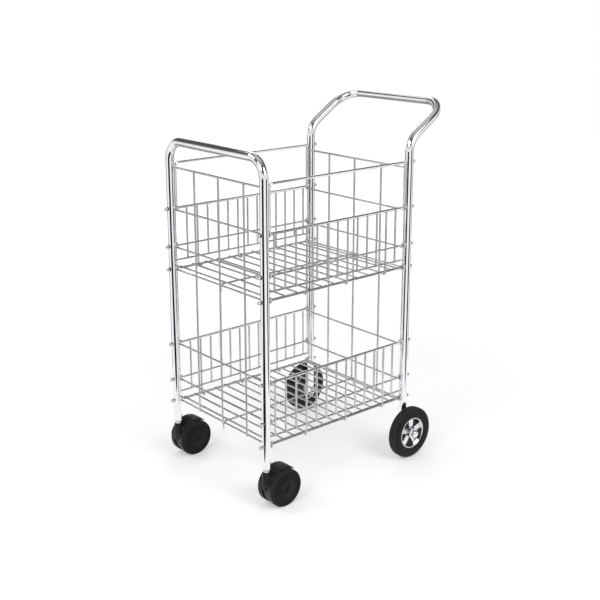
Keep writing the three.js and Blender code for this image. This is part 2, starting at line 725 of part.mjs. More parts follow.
// Baskets
place(part('front_end_panel', endPanel(FRONT_Y + PANEL_INSET, -1), CHROME), 0, 0, 0);
place(part('rear_end_panel', endPanel(REAR_Y - PANEL_INSET, 1), CHROME), 0, 0, 0);
const BASKETS = [
  ['lower', LOWER_FLOOR_Z, LOWER_CROSS_WIRES],
  ['upper', UPPER_FLOOR_Z, UPPER_CROSS_WIRES],
];
for (const [basket, floorZ, crossWires] of BASKETS) {
  place(part(`${basket}_floor`, basketFloor(crossWires), CHROME), 0, MIDDLE_Y, floorZ);
  for (const [side, sign] of SIDES) {
    const panel = part(`${basket}_side_${side}`, basketSide(sign), CHROME);
    place(panel, sign * POST_X, MIDDLE_Y, floorZ);
  }
}
for (const [side, sign] of SIDES) {
  place(part(`file_rail_${side}`, fileRail(), CHROME), sign * POST_X, 0, 0);
}

// Cap nuts, one on the outer face of a post for each rod end, numbered from the floor up
for (const [side, sign] of SIDES) {
  const x = sign * POST_X;
  ROD_LEVELS.forEach((z, i) => {
    const front = part(`nut_front_${side}_${i + 1}`, capNut(), CHROME);
    front.rotation.z = Math.PI;
    place(front, x, FRONT_Y - LOOP_R - GAP, z);
    const rear = part(`nut_rear_${side}_${i + 1}`, capNut(), CHROME);
    place(rear, x, REAR_Y + REAR_POST_R + GAP, z);
  });
  const handleNut = part(`nut_handle_${side}`, capNut(), CHROME);
  place(handleNut, x, REAR_Y + HANDLE_R + GAP, FILE_RAIL_Z);
}

// Front casters
for (const [side, sign] of SIDES) {
  const x = sign * POST_X;
  place(part(`caster_${side}_socket`, casterSocket(), STEEL), x, FRONT_Y, 0);
  place(part(`caster_${side}_stem`, casterStem(), STEEL), x, FRONT_Y, 0);
  place(part(`caster_${side}_housing`, casterHousing(), BLACK_PLASTIC), x, FRONT_Y, 0);
  const wheelY = FRONT_Y + CASTER_TRAIL;
  place(part(`caster_${side}_axle`, casterAxle(), STEEL), x, wheelY, CASTER_WHEEL_R);
  for (const [end, facing] of [['a', -1], ['b', 1]]) {
    const wheel = part(`caster_${side}_wheel_${end}`, casterWheel(), BLACK_PLASTIC);
    place(wheel, x + (facing * CASTER_GAP) / 2, wheelY, CASTER_WHEEL_R);
    wheel.rotation.z = facing > 0 ? 0 : Math.PI;
  }
}

// Rear wheels
for (const [side, sign] of SIDES) {
  const wheel = new THREE.Group();
  wheel.position.set(sign * POST_X, REAR_Y, TYRE_R);
  wheel.rotation.z = sign > 0 ? 0 : Math.PI;
  wheel.add(part(`rear_wheel_${side}_axle`, stubAxle(), STEEL));
  wheel.add(part(`rear_wheel_${side}_rim`, rearRim(), CHROME));
  wheel.add(part(`rear_wheel_${side}_tyre`, rearTyre(), BLACK_RUBBER));
  wheel.add(part(`rear_wheel_${side}_cap`, wheelCap(), CHROME));
  cart.add(wheel);
}

export default cart;
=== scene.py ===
# %% [markdown]
# # A chrome wire file cart
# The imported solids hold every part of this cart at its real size, but they are cut from flat facets.
# This lesson keeps them as a measured frame and dresses them: each tube, wire, nut and wheel is made
# again as a smooth piece in the same place, and rides on the same moving body.
# Working over a fixed frame means that nothing has to be fitted by eye.

import json
import math

import bmesh
import bpy
from mathutils import Matrix, Vector

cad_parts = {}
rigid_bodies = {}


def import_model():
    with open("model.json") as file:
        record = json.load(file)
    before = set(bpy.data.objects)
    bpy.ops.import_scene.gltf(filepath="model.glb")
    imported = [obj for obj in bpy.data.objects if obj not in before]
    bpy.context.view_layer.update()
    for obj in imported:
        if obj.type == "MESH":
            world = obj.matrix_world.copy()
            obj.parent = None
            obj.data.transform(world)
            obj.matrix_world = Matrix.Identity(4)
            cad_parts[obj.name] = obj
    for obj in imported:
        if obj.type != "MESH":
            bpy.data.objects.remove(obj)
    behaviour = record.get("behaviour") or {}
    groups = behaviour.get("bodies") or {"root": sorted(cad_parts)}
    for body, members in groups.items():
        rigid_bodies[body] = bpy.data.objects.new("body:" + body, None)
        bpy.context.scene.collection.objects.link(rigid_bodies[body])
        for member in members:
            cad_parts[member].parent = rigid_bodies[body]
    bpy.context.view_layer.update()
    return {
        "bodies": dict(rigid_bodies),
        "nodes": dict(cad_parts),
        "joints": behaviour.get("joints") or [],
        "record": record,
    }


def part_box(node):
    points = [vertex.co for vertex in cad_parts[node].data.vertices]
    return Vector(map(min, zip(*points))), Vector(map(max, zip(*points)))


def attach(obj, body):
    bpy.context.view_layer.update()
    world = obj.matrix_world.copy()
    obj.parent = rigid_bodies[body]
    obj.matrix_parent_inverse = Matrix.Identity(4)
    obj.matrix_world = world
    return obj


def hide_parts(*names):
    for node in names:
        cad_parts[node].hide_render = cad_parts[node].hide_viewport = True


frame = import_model()

# %% [markdown]
# ## Where the posts and rods are
# Four upright posts carry everything, and the wire rods run through them at six levels. These places
# could be typed in again, but reading them from the solids' boxes keeps both models in step.

# %% Measure the posts and rod levels
MM = 0.001
GAP = 0.3 * MM


def middle_of(node):
    low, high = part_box(node)
    return (low + high) / 2


POST_X = middle_of("rear_post_right").x
REAR_Y = middle_of("rear_post_right").y
FRONT_Y = middle_of("caster_right_socket").y
MIDDLE_Y = (FRONT_Y + REAR_Y) / 2
ROD_LEVELS = [middle_of(f"nut_front_left_{level}").z for level in range(1, 7)]
FLOOR_LEVELS = {"lower": ROD_LEVELS[0], "upper": ROD_LEVELS[3]}
SIDES = {"left": -1, "right": 1}
print("Post spacing", round(2 * POST_X, 4), "by", round(REAR_Y - FRONT_Y, 4), "m")

# %% [markdown]
# ## Camera
# The cart is seen from its front right, a little above the handle, with a longish lens. The camera
# could be aimed with a tracking constraint, but a place, a yaw and a pitch are easier to adjust one at
# a time. A small lens shift keeps the posts nearly parallel, as in a catalogue picture.

# %% Set up the camera
CAMERA_PLACE = Vector((1.984, -1.727, 1.253))
VIEW_YAW = math.radians(49.42)
VIEW_PITCH = math.radians(14.61)

camera_data = bpy.data.cameras.new("catalogue_camera")
camera_data.lens = 61.0
camera_data.sensor_width = 36.0
camera_data.shift_y = -0.08
camera = bpy.data.objects.new("catalogue_camera", camera_data)
bpy.context.scene.collection.objects.link(camera)
camera.location = CAMERA_PLACE
view_line = Vector(
    (
        -math.sin(VIEW_YAW) * math.cos(VIEW_PITCH),
        math.cos(VIEW_YAW) * math.cos(VIEW_PITCH),
        -math.sin(VIEW_PITCH),
    )
)
camera.rotation_euler = view_line.to_track_quat("-Z", "Y").to_euler()
bpy.context.scene.camera = camera
bpy.context.scene.view_settings.view_transform = "Standard"
print("Camera stands", round(CAMERA_PLACE.length, 2), "m from the origin")

# %% [markdown]
# ## A short way to write nodes
# Every finish below is a small network of shader nodes. Writing each node, value and link on its own
# line gets long, so one helper adds a node and fills its sockets, with either a value or a link.

# %% Node helper
def put(tree, kind, sockets=None, **settings):
    node = tree.nodes.new(kind)
    for name, value in settings.items():
        setattr(node, name, value)
    for key, value in (sockets or {}).items():
        if isinstance(value, bpy.types.NodeSocket):
            tree.links.new(value, node.inputs[key])
        else:
            node.inputs[key].default_value = value
    return node


def fresh_tree(owner):
    owner.use_nodes = True
    owner.node_tree.nodes.clear()
    return owner.node_tree


def grey(tone):
    return (tone, tone, tone, 1)


# %% [markdown]
# ## Studio floor
# Chrome has no colour of its own: it shows the room. The floor is plain white paper, and it is given
# part of its white by the Light Path node so that the camera sees clean paper with a soft shadow. That
# part grows away from the cart, where the lamps no longer reach, so no horizon shows. In reflections
# the floor is plain bright paper, which is what makes the tubes look white.

# %% Build the floor
FLOOR_HALF = 12.0

floor_shape = bmesh.new()
corners = [(-1, -1), (1, -1), (1, 1), (-1, 1)]
floor_shape.faces.new([floor_shape.verts.new((x * FLOOR_HALF, y * FLOOR_HALF, 0)) for x, y in corners])
floor_mesh = bpy.data.meshes.new("paper_floor")
floor_shape.to_mesh(floor_mesh)
floor_shape.free()
paper_floor = bpy.data.objects.new("paper_floor", floor_mesh)
bpy.context.scene.collection.objects.link(paper_floor)

paper = bpy.data.materials.new("floor_paper")
tree = fresh_tree(paper)
rays = put(tree, "ShaderNodeLightPath")
paper_shade = put(tree, "ShaderNodeBsdfDiffuse", {"Color": grey(0.92)})
on_floor = put(tree, "ShaderNodeTexCoord").outputs["Object"]
away = put(tree, "ShaderNodeVectorMath", {0: on_floor}, operation="LENGTH")
sweep = put(
    tree,
    "ShaderNodeMapRange",
    {"Value": away.outputs["Value"], "From Min": 0.6, "From Max": 2.6, "To Min": 0.24, "To Max": 0.52},
    interpolation_type="SMOOTHSTEP",
)
paper_glow = put(tree, "ShaderNodeEmission", {"Color": sweep.outputs[0], "Strength": 1.0})
seen_paper = put(tree, "ShaderNodeAddShader", {0: paper_shade.outputs[0], 1: paper_glow.outputs[0]})
mirrored_paper = put(tree, "ShaderNodeEmission", {"Color": grey(1.0), "Strength": 1.0})
for_camera = put(
    tree,
    "ShaderNodeMixShader",
    {0: rays.outputs["Is Camera Ray"], 1: paper_shade.outputs[0], 2: seen_paper.outputs[0]},
)
for_mirrors = put(
    tree,
    "ShaderNodeMixShader",
    {0: rays.outputs["Is Glossy Ray"], 1: for_camera.outputs[0], 2: mirrored_paper.outputs[0]},
)
put(tree, "ShaderNodeOutputMaterial", {"Surface": for_mirrors.outputs[0]})
floor_mesh.materials.append(paper)
print("Floor is", 2 * FLOOR_HALF, "m wide")

# %% [markdown]
# ## Room around the floor
# The camera sees a white room. In reflections the room is white only near the horizon and dark above,
# as under a lit backdrop in a dim studio, because chrome that sees nothing but white looks like chalk.
# Other rays get a plain even light.

# %% Build the room
room = bpy.data.worlds.new("studio_room")
bpy.context.scene.world = room
tree = fresh_tree(room)
rays = put(tree, "ShaderNodeLightPath")
direction = put(tree, "ShaderNodeSeparateXYZ", {0: put(tree, "ShaderNodeTexCoord").outputs["Generated"]})
backdrop = put(tree, "ShaderNodeValToRGB", {"Fac": direction.outputs["Z"]})
ROOM_TONES = [(0.0, 0.90), (0.14, 0.80), (0.30, 0.13), (0.62, 0.07), (0.86, 0.30), (1.0, 0.60)]
while len(backdrop.color_ramp.elements) < len(ROOM_TONES):
    backdrop.color_ramp.elements.new(0.5)
for stop, (height, tone) in zip(backdrop.color_ramp.elements, ROOM_TONES):
    stop.position = height
    stop.color = grey(tone)
seen_room = put(tree, "ShaderNodeBackground", {"Color": grey(1.0), "Strength": 1.0})
mirrored_room = put(tree, "ShaderNodeBackground", {"Color": backdrop.outputs["Color"], "Strength": 1.0})
room_light = put(tree, "ShaderNodeBackground", {"Color": grey(1.0), "Strength": 0.52})
lit = put(
    tree,
    "ShaderNodeMixShader",
    {0: rays.outputs["Is Glossy Ray"], 1: room_light.outputs[0], 2: mirrored_room.outputs[0]},
)
shown = put(
    tree,
    "ShaderNodeMixShader",
    {0: rays.outputs["Is Camera Ray"], 1: lit.outputs[0], 2: seen_room.outputs[0]},
)
put(tree, "ShaderNodeOutputWorld", {"Surface": shown.outputs[0]})
print("Room has", len(ROOM_TONES), "tones from the horizon up")

# %% [markdown]
# ## Soft boxes
# Large lamps stand in front and to the right, so that the soft shadows fall back and to the left, and
# two weaker ones at the left and behind give the highlights. Small lamps would be simpler, but their
# highlights on round bars are hard thin lines.

# %% Place the soft boxes
AIM = Vector((0, MIDDLE_Y, 0.45))


def soft_box(name, place, width, height, power):
    lamp = bpy.data.lights.new(name, "AREA")
    lamp.shape = "RECTANGLE"
    lamp.size = width
    lamp.size_y = height
    lamp.energy = power
    holder = bpy.data.objects.new(name, lamp)
    bpy.context.scene.collection.objects.link(holder)
    holder.location = place
    holder.rotation_euler = (AIM - Vector(place)).to_track_quat("-Z", "Y").to_euler()
    holder.visible_camera = False


soft_box("front_soft_box", (0.7, -2.7, 2.3), 1.6, 1.2, 24)
soft_box("right_soft_box", (2.8, 0.2, 2.2), 1.6, 1.6, 34)
soft_box("left_soft_box", (-1.6, -2.2, 2.6), 1.4, 1.0, 15)
soft_box("back_soft_box", (-2.0, 1.6, 2.4), 1.2, 1.2, 8)
print("Placed 4 soft boxes")

# %% [markdown]
# ## Cards for the reflections
# A photographer puts dark cards round a chrome object, because it is the dark stripes beside the white
# ones that make tubes look like metal. Here the cards lie on the floor as wedges that only mirror-like
# surfaces see, so they cast no shadow and never show in the picture. Two are black, and a grey one
# behind the cart draws the tubes' edges. Their near ends are pointed, so that a stripe fades to a tip
# above the wheels instead of ending in a square. A white card hangs high on the left, for the bright
# line along the top of the handle.

# %% Lay the cards
CARD_FAR = 11.5
CARD_POINT = 0.25
CARD_LIFT = 0.001
CARD_STEPS = 12
CAMERA_BEARING = math.atan2(CAMERA_PLACE.y, CAMERA_PLACE.x)


def set_card(name, shape, tone):
    stock = bpy.data.materials.new(name)
    tree = fresh_tree(stock)
    glow = put(tree, "ShaderNodeEmission", {"Color": grey(tone), "Strength": 1.0})
    put(tree, "ShaderNodeOutputMaterial", {"Surface": glow.outputs[0]})
    mesh = bpy.data.meshes.new(name)
    shape.to_mesh(mesh)
    shape.free()
    mesh.materials.append(stock)
    card = bpy.data.objects.new(name, mesh)
    bpy.context.scene.collection.objects.link(card)
    card.visible_camera = False
    card.visible_diffuse = False
    card.visible_shadow = False


def lay_card(name, from_degrees, to_degrees, near, tone):
    shape = bmesh.new()
    near_edge = []
    far_edge = []
    for step in range(CARD_STEPS + 1):
        part = step / CARD_STEPS
        bearing = CAMERA_BEARING + math.radians(from_degrees + (to_degrees - from_degrees) * part)
        ray = Vector((math.cos(bearing), math.sin(bearing), 0))
        start = near + CARD_POINT * (2 * part - 1) ** 2
        near_edge.append(shape.verts.new(ray * start + Vector((0, 0, CARD_LIFT))))
        far_edge.append(shape.verts.new(ray * CARD_FAR + Vector((0, 0, CARD_LIFT))))
    for step in range(CARD_STEPS):
        following = step + 1
        shape.faces.new((near_edge[step], far_edge[step], far_edge[following], near_edge[following]))
    set_card(name, shape, tone)


def hang_card(name, x, front_y, rear_y, low_z, high_z, tone):
    corners = [(x, front_y, low_z), (x, rear_y, low_z), (x, rear_y, high_z), (x, front_y, high_z)]
    shape = bmesh.new()
    shape.faces.new([shape.verts.new(corner) for corner in corners])
    set_card(name, shape, tone)


lay_card("narrow_black_card", -50, -6, 0.61, 0.012)
lay_card("broad_black_card", 46, 78, 0.75, 0.012)
lay_card("grey_back_card", 112, 255, 0.75, 0.30)
hang_card("high_white_card", x=-2.07, front_y=-1.3, rear_y=1.6, low_z=2.70, high_z=3.60, tone=0.85)
print("Laid 3 cards reaching", CARD_FAR, "m out and hung 1")

# %% [markdown]
# ## Shared effects
# Plated, moulded and rubber parts all vary a little over their surface. These effects are node groups
# with named sockets, so that each finish places the same group with its own values. Painting the
# variation into images would also work, but nodes stay sharp at any distance.

# %% Group helper
def effect(name, inputs, outputs):
    group = bpy.data.node_groups.new(name, "ShaderNodeTree")
    for socket, kind in inputs:
        group.interface.new_socket(socket, in_out="INPUT", socket_type=kind)
    for socket, kind in outputs:
        group.interface.new_socket(socket, in_out="OUTPUT", socket_type=kind)
    entry = group.nodes.new("NodeGroupInput")
    leave = group.nodes.new("NodeGroupOutput")
    return group, entry.outputs, leave.inputs


COLOUR = "NodeSocketColor"
NUMBER = "NodeSocketFloat"

# %% [markdown]
# ### Drift
# Plating and moulding are never quite even: tone and gloss drift over a few centimetres, and fine
# wiping marks break the gloss. One slow noise and one fine noise give both.

# %% Make the drift group
drift, given, out = effect(
    "surface_drift",
    [("Light", COLOUR), ("Dark", COLOUR), ("Gloss", NUMBER), ("Dull", NUMBER), ("Scale", NUMBER)],
    [("Color", COLOUR), ("Roughness", NUMBER), ("Ripple", NUMBER)],
)
coords = put(drift, "ShaderNodeTexCoord").outputs["Object"]
slow = put(drift, "ShaderNodeTexNoise", {"Vector": coords, "Scale": given["Scale"], "Detail": 3.0})
fine_scale = put(drift, "ShaderNodeMath", {0: given["Scale"], 1: 9.0}, operation="MULTIPLY")
fine = put(drift, "ShaderNodeTexNoise", {"Vector": coords, "Scale": fine_scale.outputs[0], "Detail": 4.0})
spread = put(
    drift, "ShaderNodeMapRange", {"Value": slow.outputs[0], "From Min": 0.32, "From Max": 0.68}
)
tone = put(
    drift,
    "ShaderNodeMix",
    {0: spread.outputs[0], 6: given["Light"], 7: given["Dark"]},
    data_type="RGBA",
)
gloss = put(
    drift,
    "ShaderNodeMapRange",
    {
        "Value": fine.outputs[0],
        "From Min": 0.35,
        "From Max": 0.70,
        "To Min": given["Gloss"],
        "To Max": given["Dull"],
    },
)
drift.links.new(tone.outputs[2], out["Color"])
drift.links.new(gloss.outputs[0], out["Roughness"])
drift.links.new(slow.outputs[0], out["Ripple"])
print("Drift has", len(drift.nodes), "nodes")

# %% [markdown]
# ### Grain
# Moulded plastic and rubber have a fine pebbled skin. A cell texture gives the pebbles, and a noise
# keeps them from looking printed.

# %% Make the grain group
grain, given, out = effect("moulded_grain", [("Scale", NUMBER)], [("Height", NUMBER), ("Speckle", NUMBER)])
coords = put(grain, "ShaderNodeTexCoord").outputs["Object"]
cells = put(grain, "ShaderNodeTexVoronoi", {"Vector": coords, "Scale": given["Scale"]})
flecks = put(grain, "ShaderNodeTexNoise", {"Vector": coords, "Scale": given["Scale"], "Detail": 2.0})
pebbles = put(
    grain, "ShaderNodeMath", {0: cells.outputs["Distance"], 1: flecks.outputs[0]}, operation="MULTIPLY"
)
grain.links.new(pebbles.outputs[0], out["Height"])
grain.links.new(flecks.outputs[0], out["Speckle"])
print("Grain has", len(grain.nodes), "nodes")

# %% [markdown]
# ### Dust
# Wheels pick up pale dust. It lies in soft patches, thicker where a surface faces up, so the mask is a
# noise weighted by the surface's own direction.

# %% Make the dust group
dust, given, out = effect("settled_dust", [("Scale", NUMBER), ("Amount", NUMBER)], [("Mask", NUMBER)])
coords = put(dust, "ShaderNodeTexCoord")
patches = put(
    dust,
    "ShaderNodeTexNoise",
    {"Vector": coords.outputs["Object"], "Scale": given["Scale"], "Detail": 5.0, "Roughness": 0.6},
)
facing = put(dust, "ShaderNodeSeparateXYZ", {0: coords.outputs["Normal"]})
upward = put(
    dust,
    "ShaderNodeMapRange",
    {"Value": facing.outputs["Z"], "From Min": -0.6, "From Max": 1.0, "To Min": 0.25, "To Max": 1.0},
)
thick = put(
    dust, "ShaderNodeMapRange", {"Value": patches.outputs[0], "From Min": 0.42, "From Max": 0.75}
)
layer = put(dust, "ShaderNodeMath", {0: thick.outputs[0], 1: upward.outputs[0]}, operation="MULTIPLY")
mask = put(dust, "ShaderNodeMath", {0: layer.outputs[0], 1: given["Amount"]}, operation="MULTIPLY")
dust.links.new(mask.outputs[0], out["Mask"])
print("Dust has", len(dust.nodes), "nodes")

# %% [markdown]
# ### Worn and highlit edges
# Corners of hoods, wheels and tyre ribs are paler: partly rubbed wear, and partly a painted highlight
# where edges and rib crests catch the light. The Pointiness of the surface marks them without any image.

# %% Make the edge wear and painted highlight group
edge_wear_and_highlight, given, out = effect("edge_wear_and_painted_highlight", [("Amount", NUMBER)], [("Mask", NUMBER)])
bend_of_surface = put(edge_wear_and_highlight, "ShaderNodeNewGeometry").outputs["Pointiness"]
ridge = put(
    edge_wear_and_highlight, "ShaderNodeMapRange", {"Value": bend_of_surface, "From Min": 0.51, "From Max": 0.60}
)
mask = put(edge_wear_and_highlight, "ShaderNodeMath", {0: ridge.outputs[0], 1: given["Amount"]}, operation="MULTIPLY")
edge_wear_and_highlight.links.new(mask.outputs[0], out["Mask"])
print("Rubbed edges have", len(edge_wear_and_highlight.nodes), "nodes")

# %% [markdown]
# ## Metal finishes
# The tubes and rails are bright chrome plate. The thin wires and the nuts have a greyer, darker one,
# and that darker tone is painted shade: it darkens the nuts and the thin wires all over. The stems and
# axles are plain zinc and the rims are polished. All four are the same recipe: full metal, colour and
# gloss from the drift group, and a very shallow ripple, because drawn tube and wire are never optically
# straight.

# %% Make the metals
def metal(name, light, dark, gloss, dull, scale, ripple):
    finish = bpy.data.materials.new(name)
    tree = fresh_tree(finish)
    uneven = put(
        tree,
        "ShaderNodeGroup",
        node_tree=drift,
    )
    for socket, value in zip(uneven.inputs, (light, dark, gloss, dull, scale)):
        socket.default_value = value
    waves = put(
        tree,
        "ShaderNodeBump",
        {"Height": uneven.outputs["Ripple"], "Strength": ripple, "Distance": 0.002},
    )
    surface = put(
        tree,
        "ShaderNodeBsdfPrincipled",
        {
            "Base Color": uneven.outputs["Color"],
            "Roughness": uneven.outputs["Roughness"],
            "Metallic": 1.0,
            "Normal": waves.outputs[0],
        },
    )
    put(tree, "ShaderNodeOutputMaterial", {"Surface": surface.outputs[0]})
    return finish


chrome = metal("chrome_plate", (0.92, 0.925, 0.935, 1), (0.86, 0.865, 0.88, 1), 0.05, 0.12, 26.0, 0.04)
# Greyer plate for the wires and nuts: its darker tone is painted shade.
grey_plate_painted_shade = metal("grey_plate_painted_shade", (0.70, 0.705, 0.715, 1), (0.58, 0.585, 0.60, 1), 0.08, 0.17, 40.0, 0.10)
zinc = metal("zinc_plate", (0.72, 0.73, 0.75, 1), (0.60, 0.61, 0.63, 1), 0.20, 0.34, 60.0, 0.15)
bright_rim = metal("polished_rim", (0.86, 0.87, 0.88, 1), (0.76, 0.77, 0.79, 1), 0.12, 0.26, 45.0, 0.12)
print("Made 4 metals")

# %% [markdown]
# ## Plastic and rubber finishes
# The casters are satin black plastic and the tyres are black rubber. Both are dark grey rather than
# black, with pebbled skin, a trace of dust and paler edges, which are partly rubbed wear and partly a
# painted highlight. One recipe serves both, and the values make the difference: plastic is glossier and
# rubber is dustier.

# %% Make the plastics and the rubber
def moulded(name, light, dark, pale, gloss, dull, sheen, worn_and_lit_edges, dustiness, grain_scale, grain_depth):
    finish = bpy.data.materials.new(name)
    tree = fresh_tree(finish)
    uneven = put(tree, "ShaderNodeGroup", node_tree=drift)
    for socket, value in zip(uneven.inputs, (light, dark, gloss, dull, 40.0)):
        socket.default_value = value
    skin = put(tree, "ShaderNodeGroup", node_tree=grain)
    skin.inputs["Scale"].default_value = grain_scale
    # Paler edges from the Pointiness: partly rubbed wear, partly a painted highlight where edges catch the
    # light.
    edges = put(tree, "ShaderNodeGroup", node_tree=edge_wear_and_highlight)
    edges.inputs["Amount"].default_value = worn_and_lit_edges
    film = put(tree, "ShaderNodeGroup", node_tree=dust)
    film.inputs["Scale"].default_value = 55.0
    film.inputs["Amount"].default_value = dustiness
    paleness = put(
        tree, "ShaderNodeMath", {0: edges.outputs[0], 1: film.outputs[0]}, operation="MAXIMUM"
    )
    colour = put(
        tree,
        "ShaderNodeMix",
        {0: paleness.outputs[0], 6: uneven.outputs["Color"], 7: pale},
        data_type="RGBA",
    )
    pebbled = put(
        tree,
        "ShaderNodeBump",
        {"Height": skin.outputs["Height"], "Strength": grain_depth, "Distance": 0.0004},
    )
    surface = put(
        tree,
        "ShaderNodeBsdfPrincipled",
        {
            "Base Color": colour.outputs[2],
            "Roughness": uneven.outputs["Roughness"],
            "Specular IOR Level": sheen,
            "Normal": pebbled.outputs[0],
        },
    )
    put(tree, "ShaderNodeOutputMaterial", {"Surface": surface.outputs[0]})
    return finish


hood_plastic = moulded(
    "hood_plastic",
    light=grey(0.006),
    dark=grey(0.003),
    pale=grey(0.05),
    gloss=0.22,
    dull=0.36,
    sheen=0.14,
    worn_and_lit_edges=0.6,
    dustiness=0.10,
    grain_scale=900.0,
    grain_depth=0.20,
)
wheel_plastic = moulded(
    "wheel_plastic",
    light=grey(0.006),
    dark=grey(0.003),
    pale=grey(0.05),
    gloss=0.30,
    dull=0.46,
    sheen=0.14,
    worn_and_lit_edges=0.7,
    dustiness=0.12,
    grain_scale=1100.0,
    grain_depth=0.15,
)
tyre_rubber = moulded(
    "tyre_rubber",
    light=grey(0.011),
    dark=grey(0.006),
    pale=grey(0.10),
    gloss=0.48,
    dull=0.66,
    sheen=0.16,
    worn_and_lit_edges=0.8,
    dustiness=0.20,
    grain_scale=700.0,
    grain_depth=0.30,
)
# The tread's paler tone is painted light standing in for the light on the treads; the dust on it is dust.
painted_light_tread = moulded(
    "tread_with_painted_light",
    light=grey(0.026),
    dark=grey(0.014),
    pale=grey(0.10),
    gloss=0.45,
    dull=0.62,
    sheen=0.25,
    worn_and_lit_edges=0.4,
    dustiness=0.30,
    grain_scale=1100.0,
    grain_depth=0.15,
)
rim_black = moulded(
    "rim_well_black",
    light=grey(0.020),
    dark=grey(0.012),
    pale=grey(0.08),
    gloss=0.45,
    dull=0.60,
    sheen=0.30,
    worn_and_lit_edges=0.3,
    dustiness=0.15,
    grain_scale=600.0,
    grain_depth=0.20,
)
print("Made 4 plastics and 1 rubber")

# %% [markdown]
# ## Shaping helpers
# Nearly everything on this cart is a round section led along a line, or a profile spun round an axis.
# Blender's curves and screw modifier can do both, but writing the rings by hand gives clean quads,
# flat chamfered ends and full control of where the rings go.

# %% Rounded lines
def rounded_line(corners, bends, steps=10):
    line = [corners[0]]
    for before, corner, after, bend in zip(corners, corners[1:], corners[2:], bends):
        into = (corner - before).normalized()
        leaving = (after - corner).normalized()
        turn = into.angle(leaving)
        axis = into.cross(leaving).normalized()
        start = corner - into * bend * math.tan(turn / 2)
        centre = start + axis.cross(into) * bend
        for step in range(steps + 1):
            swing = Matrix.Rotation(turn * step / steps, 3, axis)
            line.append(centre + swing @ (start - centre))
    line.append(corners[-1])
    return line


def line_frames(line):
    headings = [(after - before).normalized() for before, after in zip(line, line[1:])]
    tangents = [headings[0]]
    tangents += [(before + after).normalized() for before, after in zip(headings, headings[1:])]
    tangents.append(headings[-1])
    across = tangents[0].orthogonal().normalized()
    frames = [(line[0], across, tangents[0].cross(across))]
    for place, before, tangent in zip(line[1:], tangents, tangents[1:]):
        across = before.rotation_difference(tangent) @ across
        frames.append((place, across, tangent.cross(across)))
    return frames


# %% Rings and the skin between them
def add_ring(shape, place, across, up, radius, sides):
    angles = [2 * math.pi * side / sides for side in range(sides)]
    return [
        shape.verts.new(place + (across * math.cos(angle) + up * math.sin(angle)) * radius)
        for angle in angles
    ]


def skin_rings(shape, rings, finish=0):
    for near, far in zip(rings, rings[1:]):
        count = max(len(near), len(far))
        if count == 1:
            continue
        for side in range(count):
            following = (side + 1) % count
            corners = [near[side % len(near)]]
            if len(near) > 1:
                corners.append(near[following])
            if len(far) > 1:
                corners.append(far[following])
            corners.append(far[side % len(far)])
            shape.faces.new(corners).material_index = finish


# %% Bars, tubes and turned shapes
def add_bar(shape, line, radius, sides=12, chamfer=0.6 * MM):
    frames = line_frames(line)
    rings = []
    for place, across, up in frames:
        rings.append(add_ring(shape, place, across, up, radius, sides))
    for ends, (place, across, up), sign in ((rings[0], frames[0], 1), (rings[-1], frames[-1], -1)):
        inset = across.cross(up) * chamfer * sign
        for corner in ends:
            corner.co += inset
    first = add_ring(shape, *frames[0], radius - chamfer, sides)
    last = add_ring(shape, *frames[-1], radius - chamfer, sides)
    skin_rings(shape, [first, *rings, last])
    shape.faces.new(reversed(first))
    shape.faces.new(last)


def add_tube(shape, line, radius, wall, sides=32):
    frames = line_frames(line)
    outside = [add_ring(shape, *frame, radius, sides) for frame in frames]
    inside = [add_ring(shape, *frame, radius - wall, sides) for frame in reversed(frames)]
    skin_rings(shape, [*outside, *inside, outside[0]])


def add_turned(shape, profile, place, axis, sides=48, finish=0):
    across = axis.orthogonal().normalized()
    up = axis.cross(across)
    rings = []
    for radius, height in profile:
        centre = place + axis * height
        if radius == 0:
            rings.append([shape.verts.new(centre)])
        else:
            rings.append(add_ring(shape, centre, across, up, radius, sides))
    if profile[0][0] > 0:
        rings.append(rings[0])
    skin_rings(shape, rings, finish)


# %% Finished pieces
SHARP = math.radians(38)


def finish_mesh(name, shape, *finishes):
    bmesh.ops.recalc_face_normals(shape, faces=shape.faces)
    mesh = bpy.data.meshes.new(name)
    shape.to_mesh(mesh)
    shape.free()
    for finish in finishes:
        mesh.materials.append(finish)
    mesh.polygons.foreach_set("use_smooth", [True] * len(mesh.polygons))
    mesh.set_sharp_from_angle(angle=SHARP)
    return mesh


def set_piece(name, mesh, body, node, place=(0, 0, 0), turn=0.0):
    piece = bpy.data.objects.new(name, mesh)
    bpy.context.scene.collection.objects.link(piece)
    piece.location = place
    piece.rotation_euler = (0, 0, turn)
    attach(piece, body)
    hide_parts(node)
    return piece


# %% [markdown]
# ## Front loop
# One tube is bent into an upside-down U: both front legs and the bar over the front basket. It could be
# a bevelled curve, but a swept tube keeps its wall and its open feet.

# %% Sweep the front loop
TUBE_WALL = 1.5 * MM
LOOP_BEND = 48 * MM

loop_low, loop_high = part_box("front_loop")
LOOP_R = (loop_high.y - loop_low.y) / 2
loop_top = loop_high.z - LOOP_R
loop_corners = [
    Vector((-POST_X, FRONT_Y, loop_low.z)),
    Vector((-POST_X, FRONT_Y, loop_top)),
    Vector((POST_X, FRONT_Y, loop_top)),
    Vector((POST_X, FRONT_Y, loop_low.z)),
]
shape = bmesh.new()
add_tube(shape, rounded_line(loop_corners, [LOOP_BEND] * 2, 18), LOOP_R, TUBE_WALL)
set_piece("loop_tube", finish_mesh("loop_tube", shape, chrome), "frame", "front_loop")
print("Front loop stands", round(loop_high.z, 3), "m high")

# %% [markdown]
# ## Rear posts and push handle
# The rear posts are of the same tube as the front loop. Their tops are drawn in to a thinner neck that
# goes up into the handle, so the joint shows only as a fine line. The posts are spun, and the handle is
# swept: it leans back at a knee and turns into the bar with two more bends.

# %% Shape the posts and the handle
NECK_R = 9.5 * MM
POST_CHAMFER = 1.2 * MM
HANDLE_WALL = 1.3 * MM
KNEE_Z = 870 * MM
KNEE_BEND = 55 * MM
BAR_BEND = 65 * MM

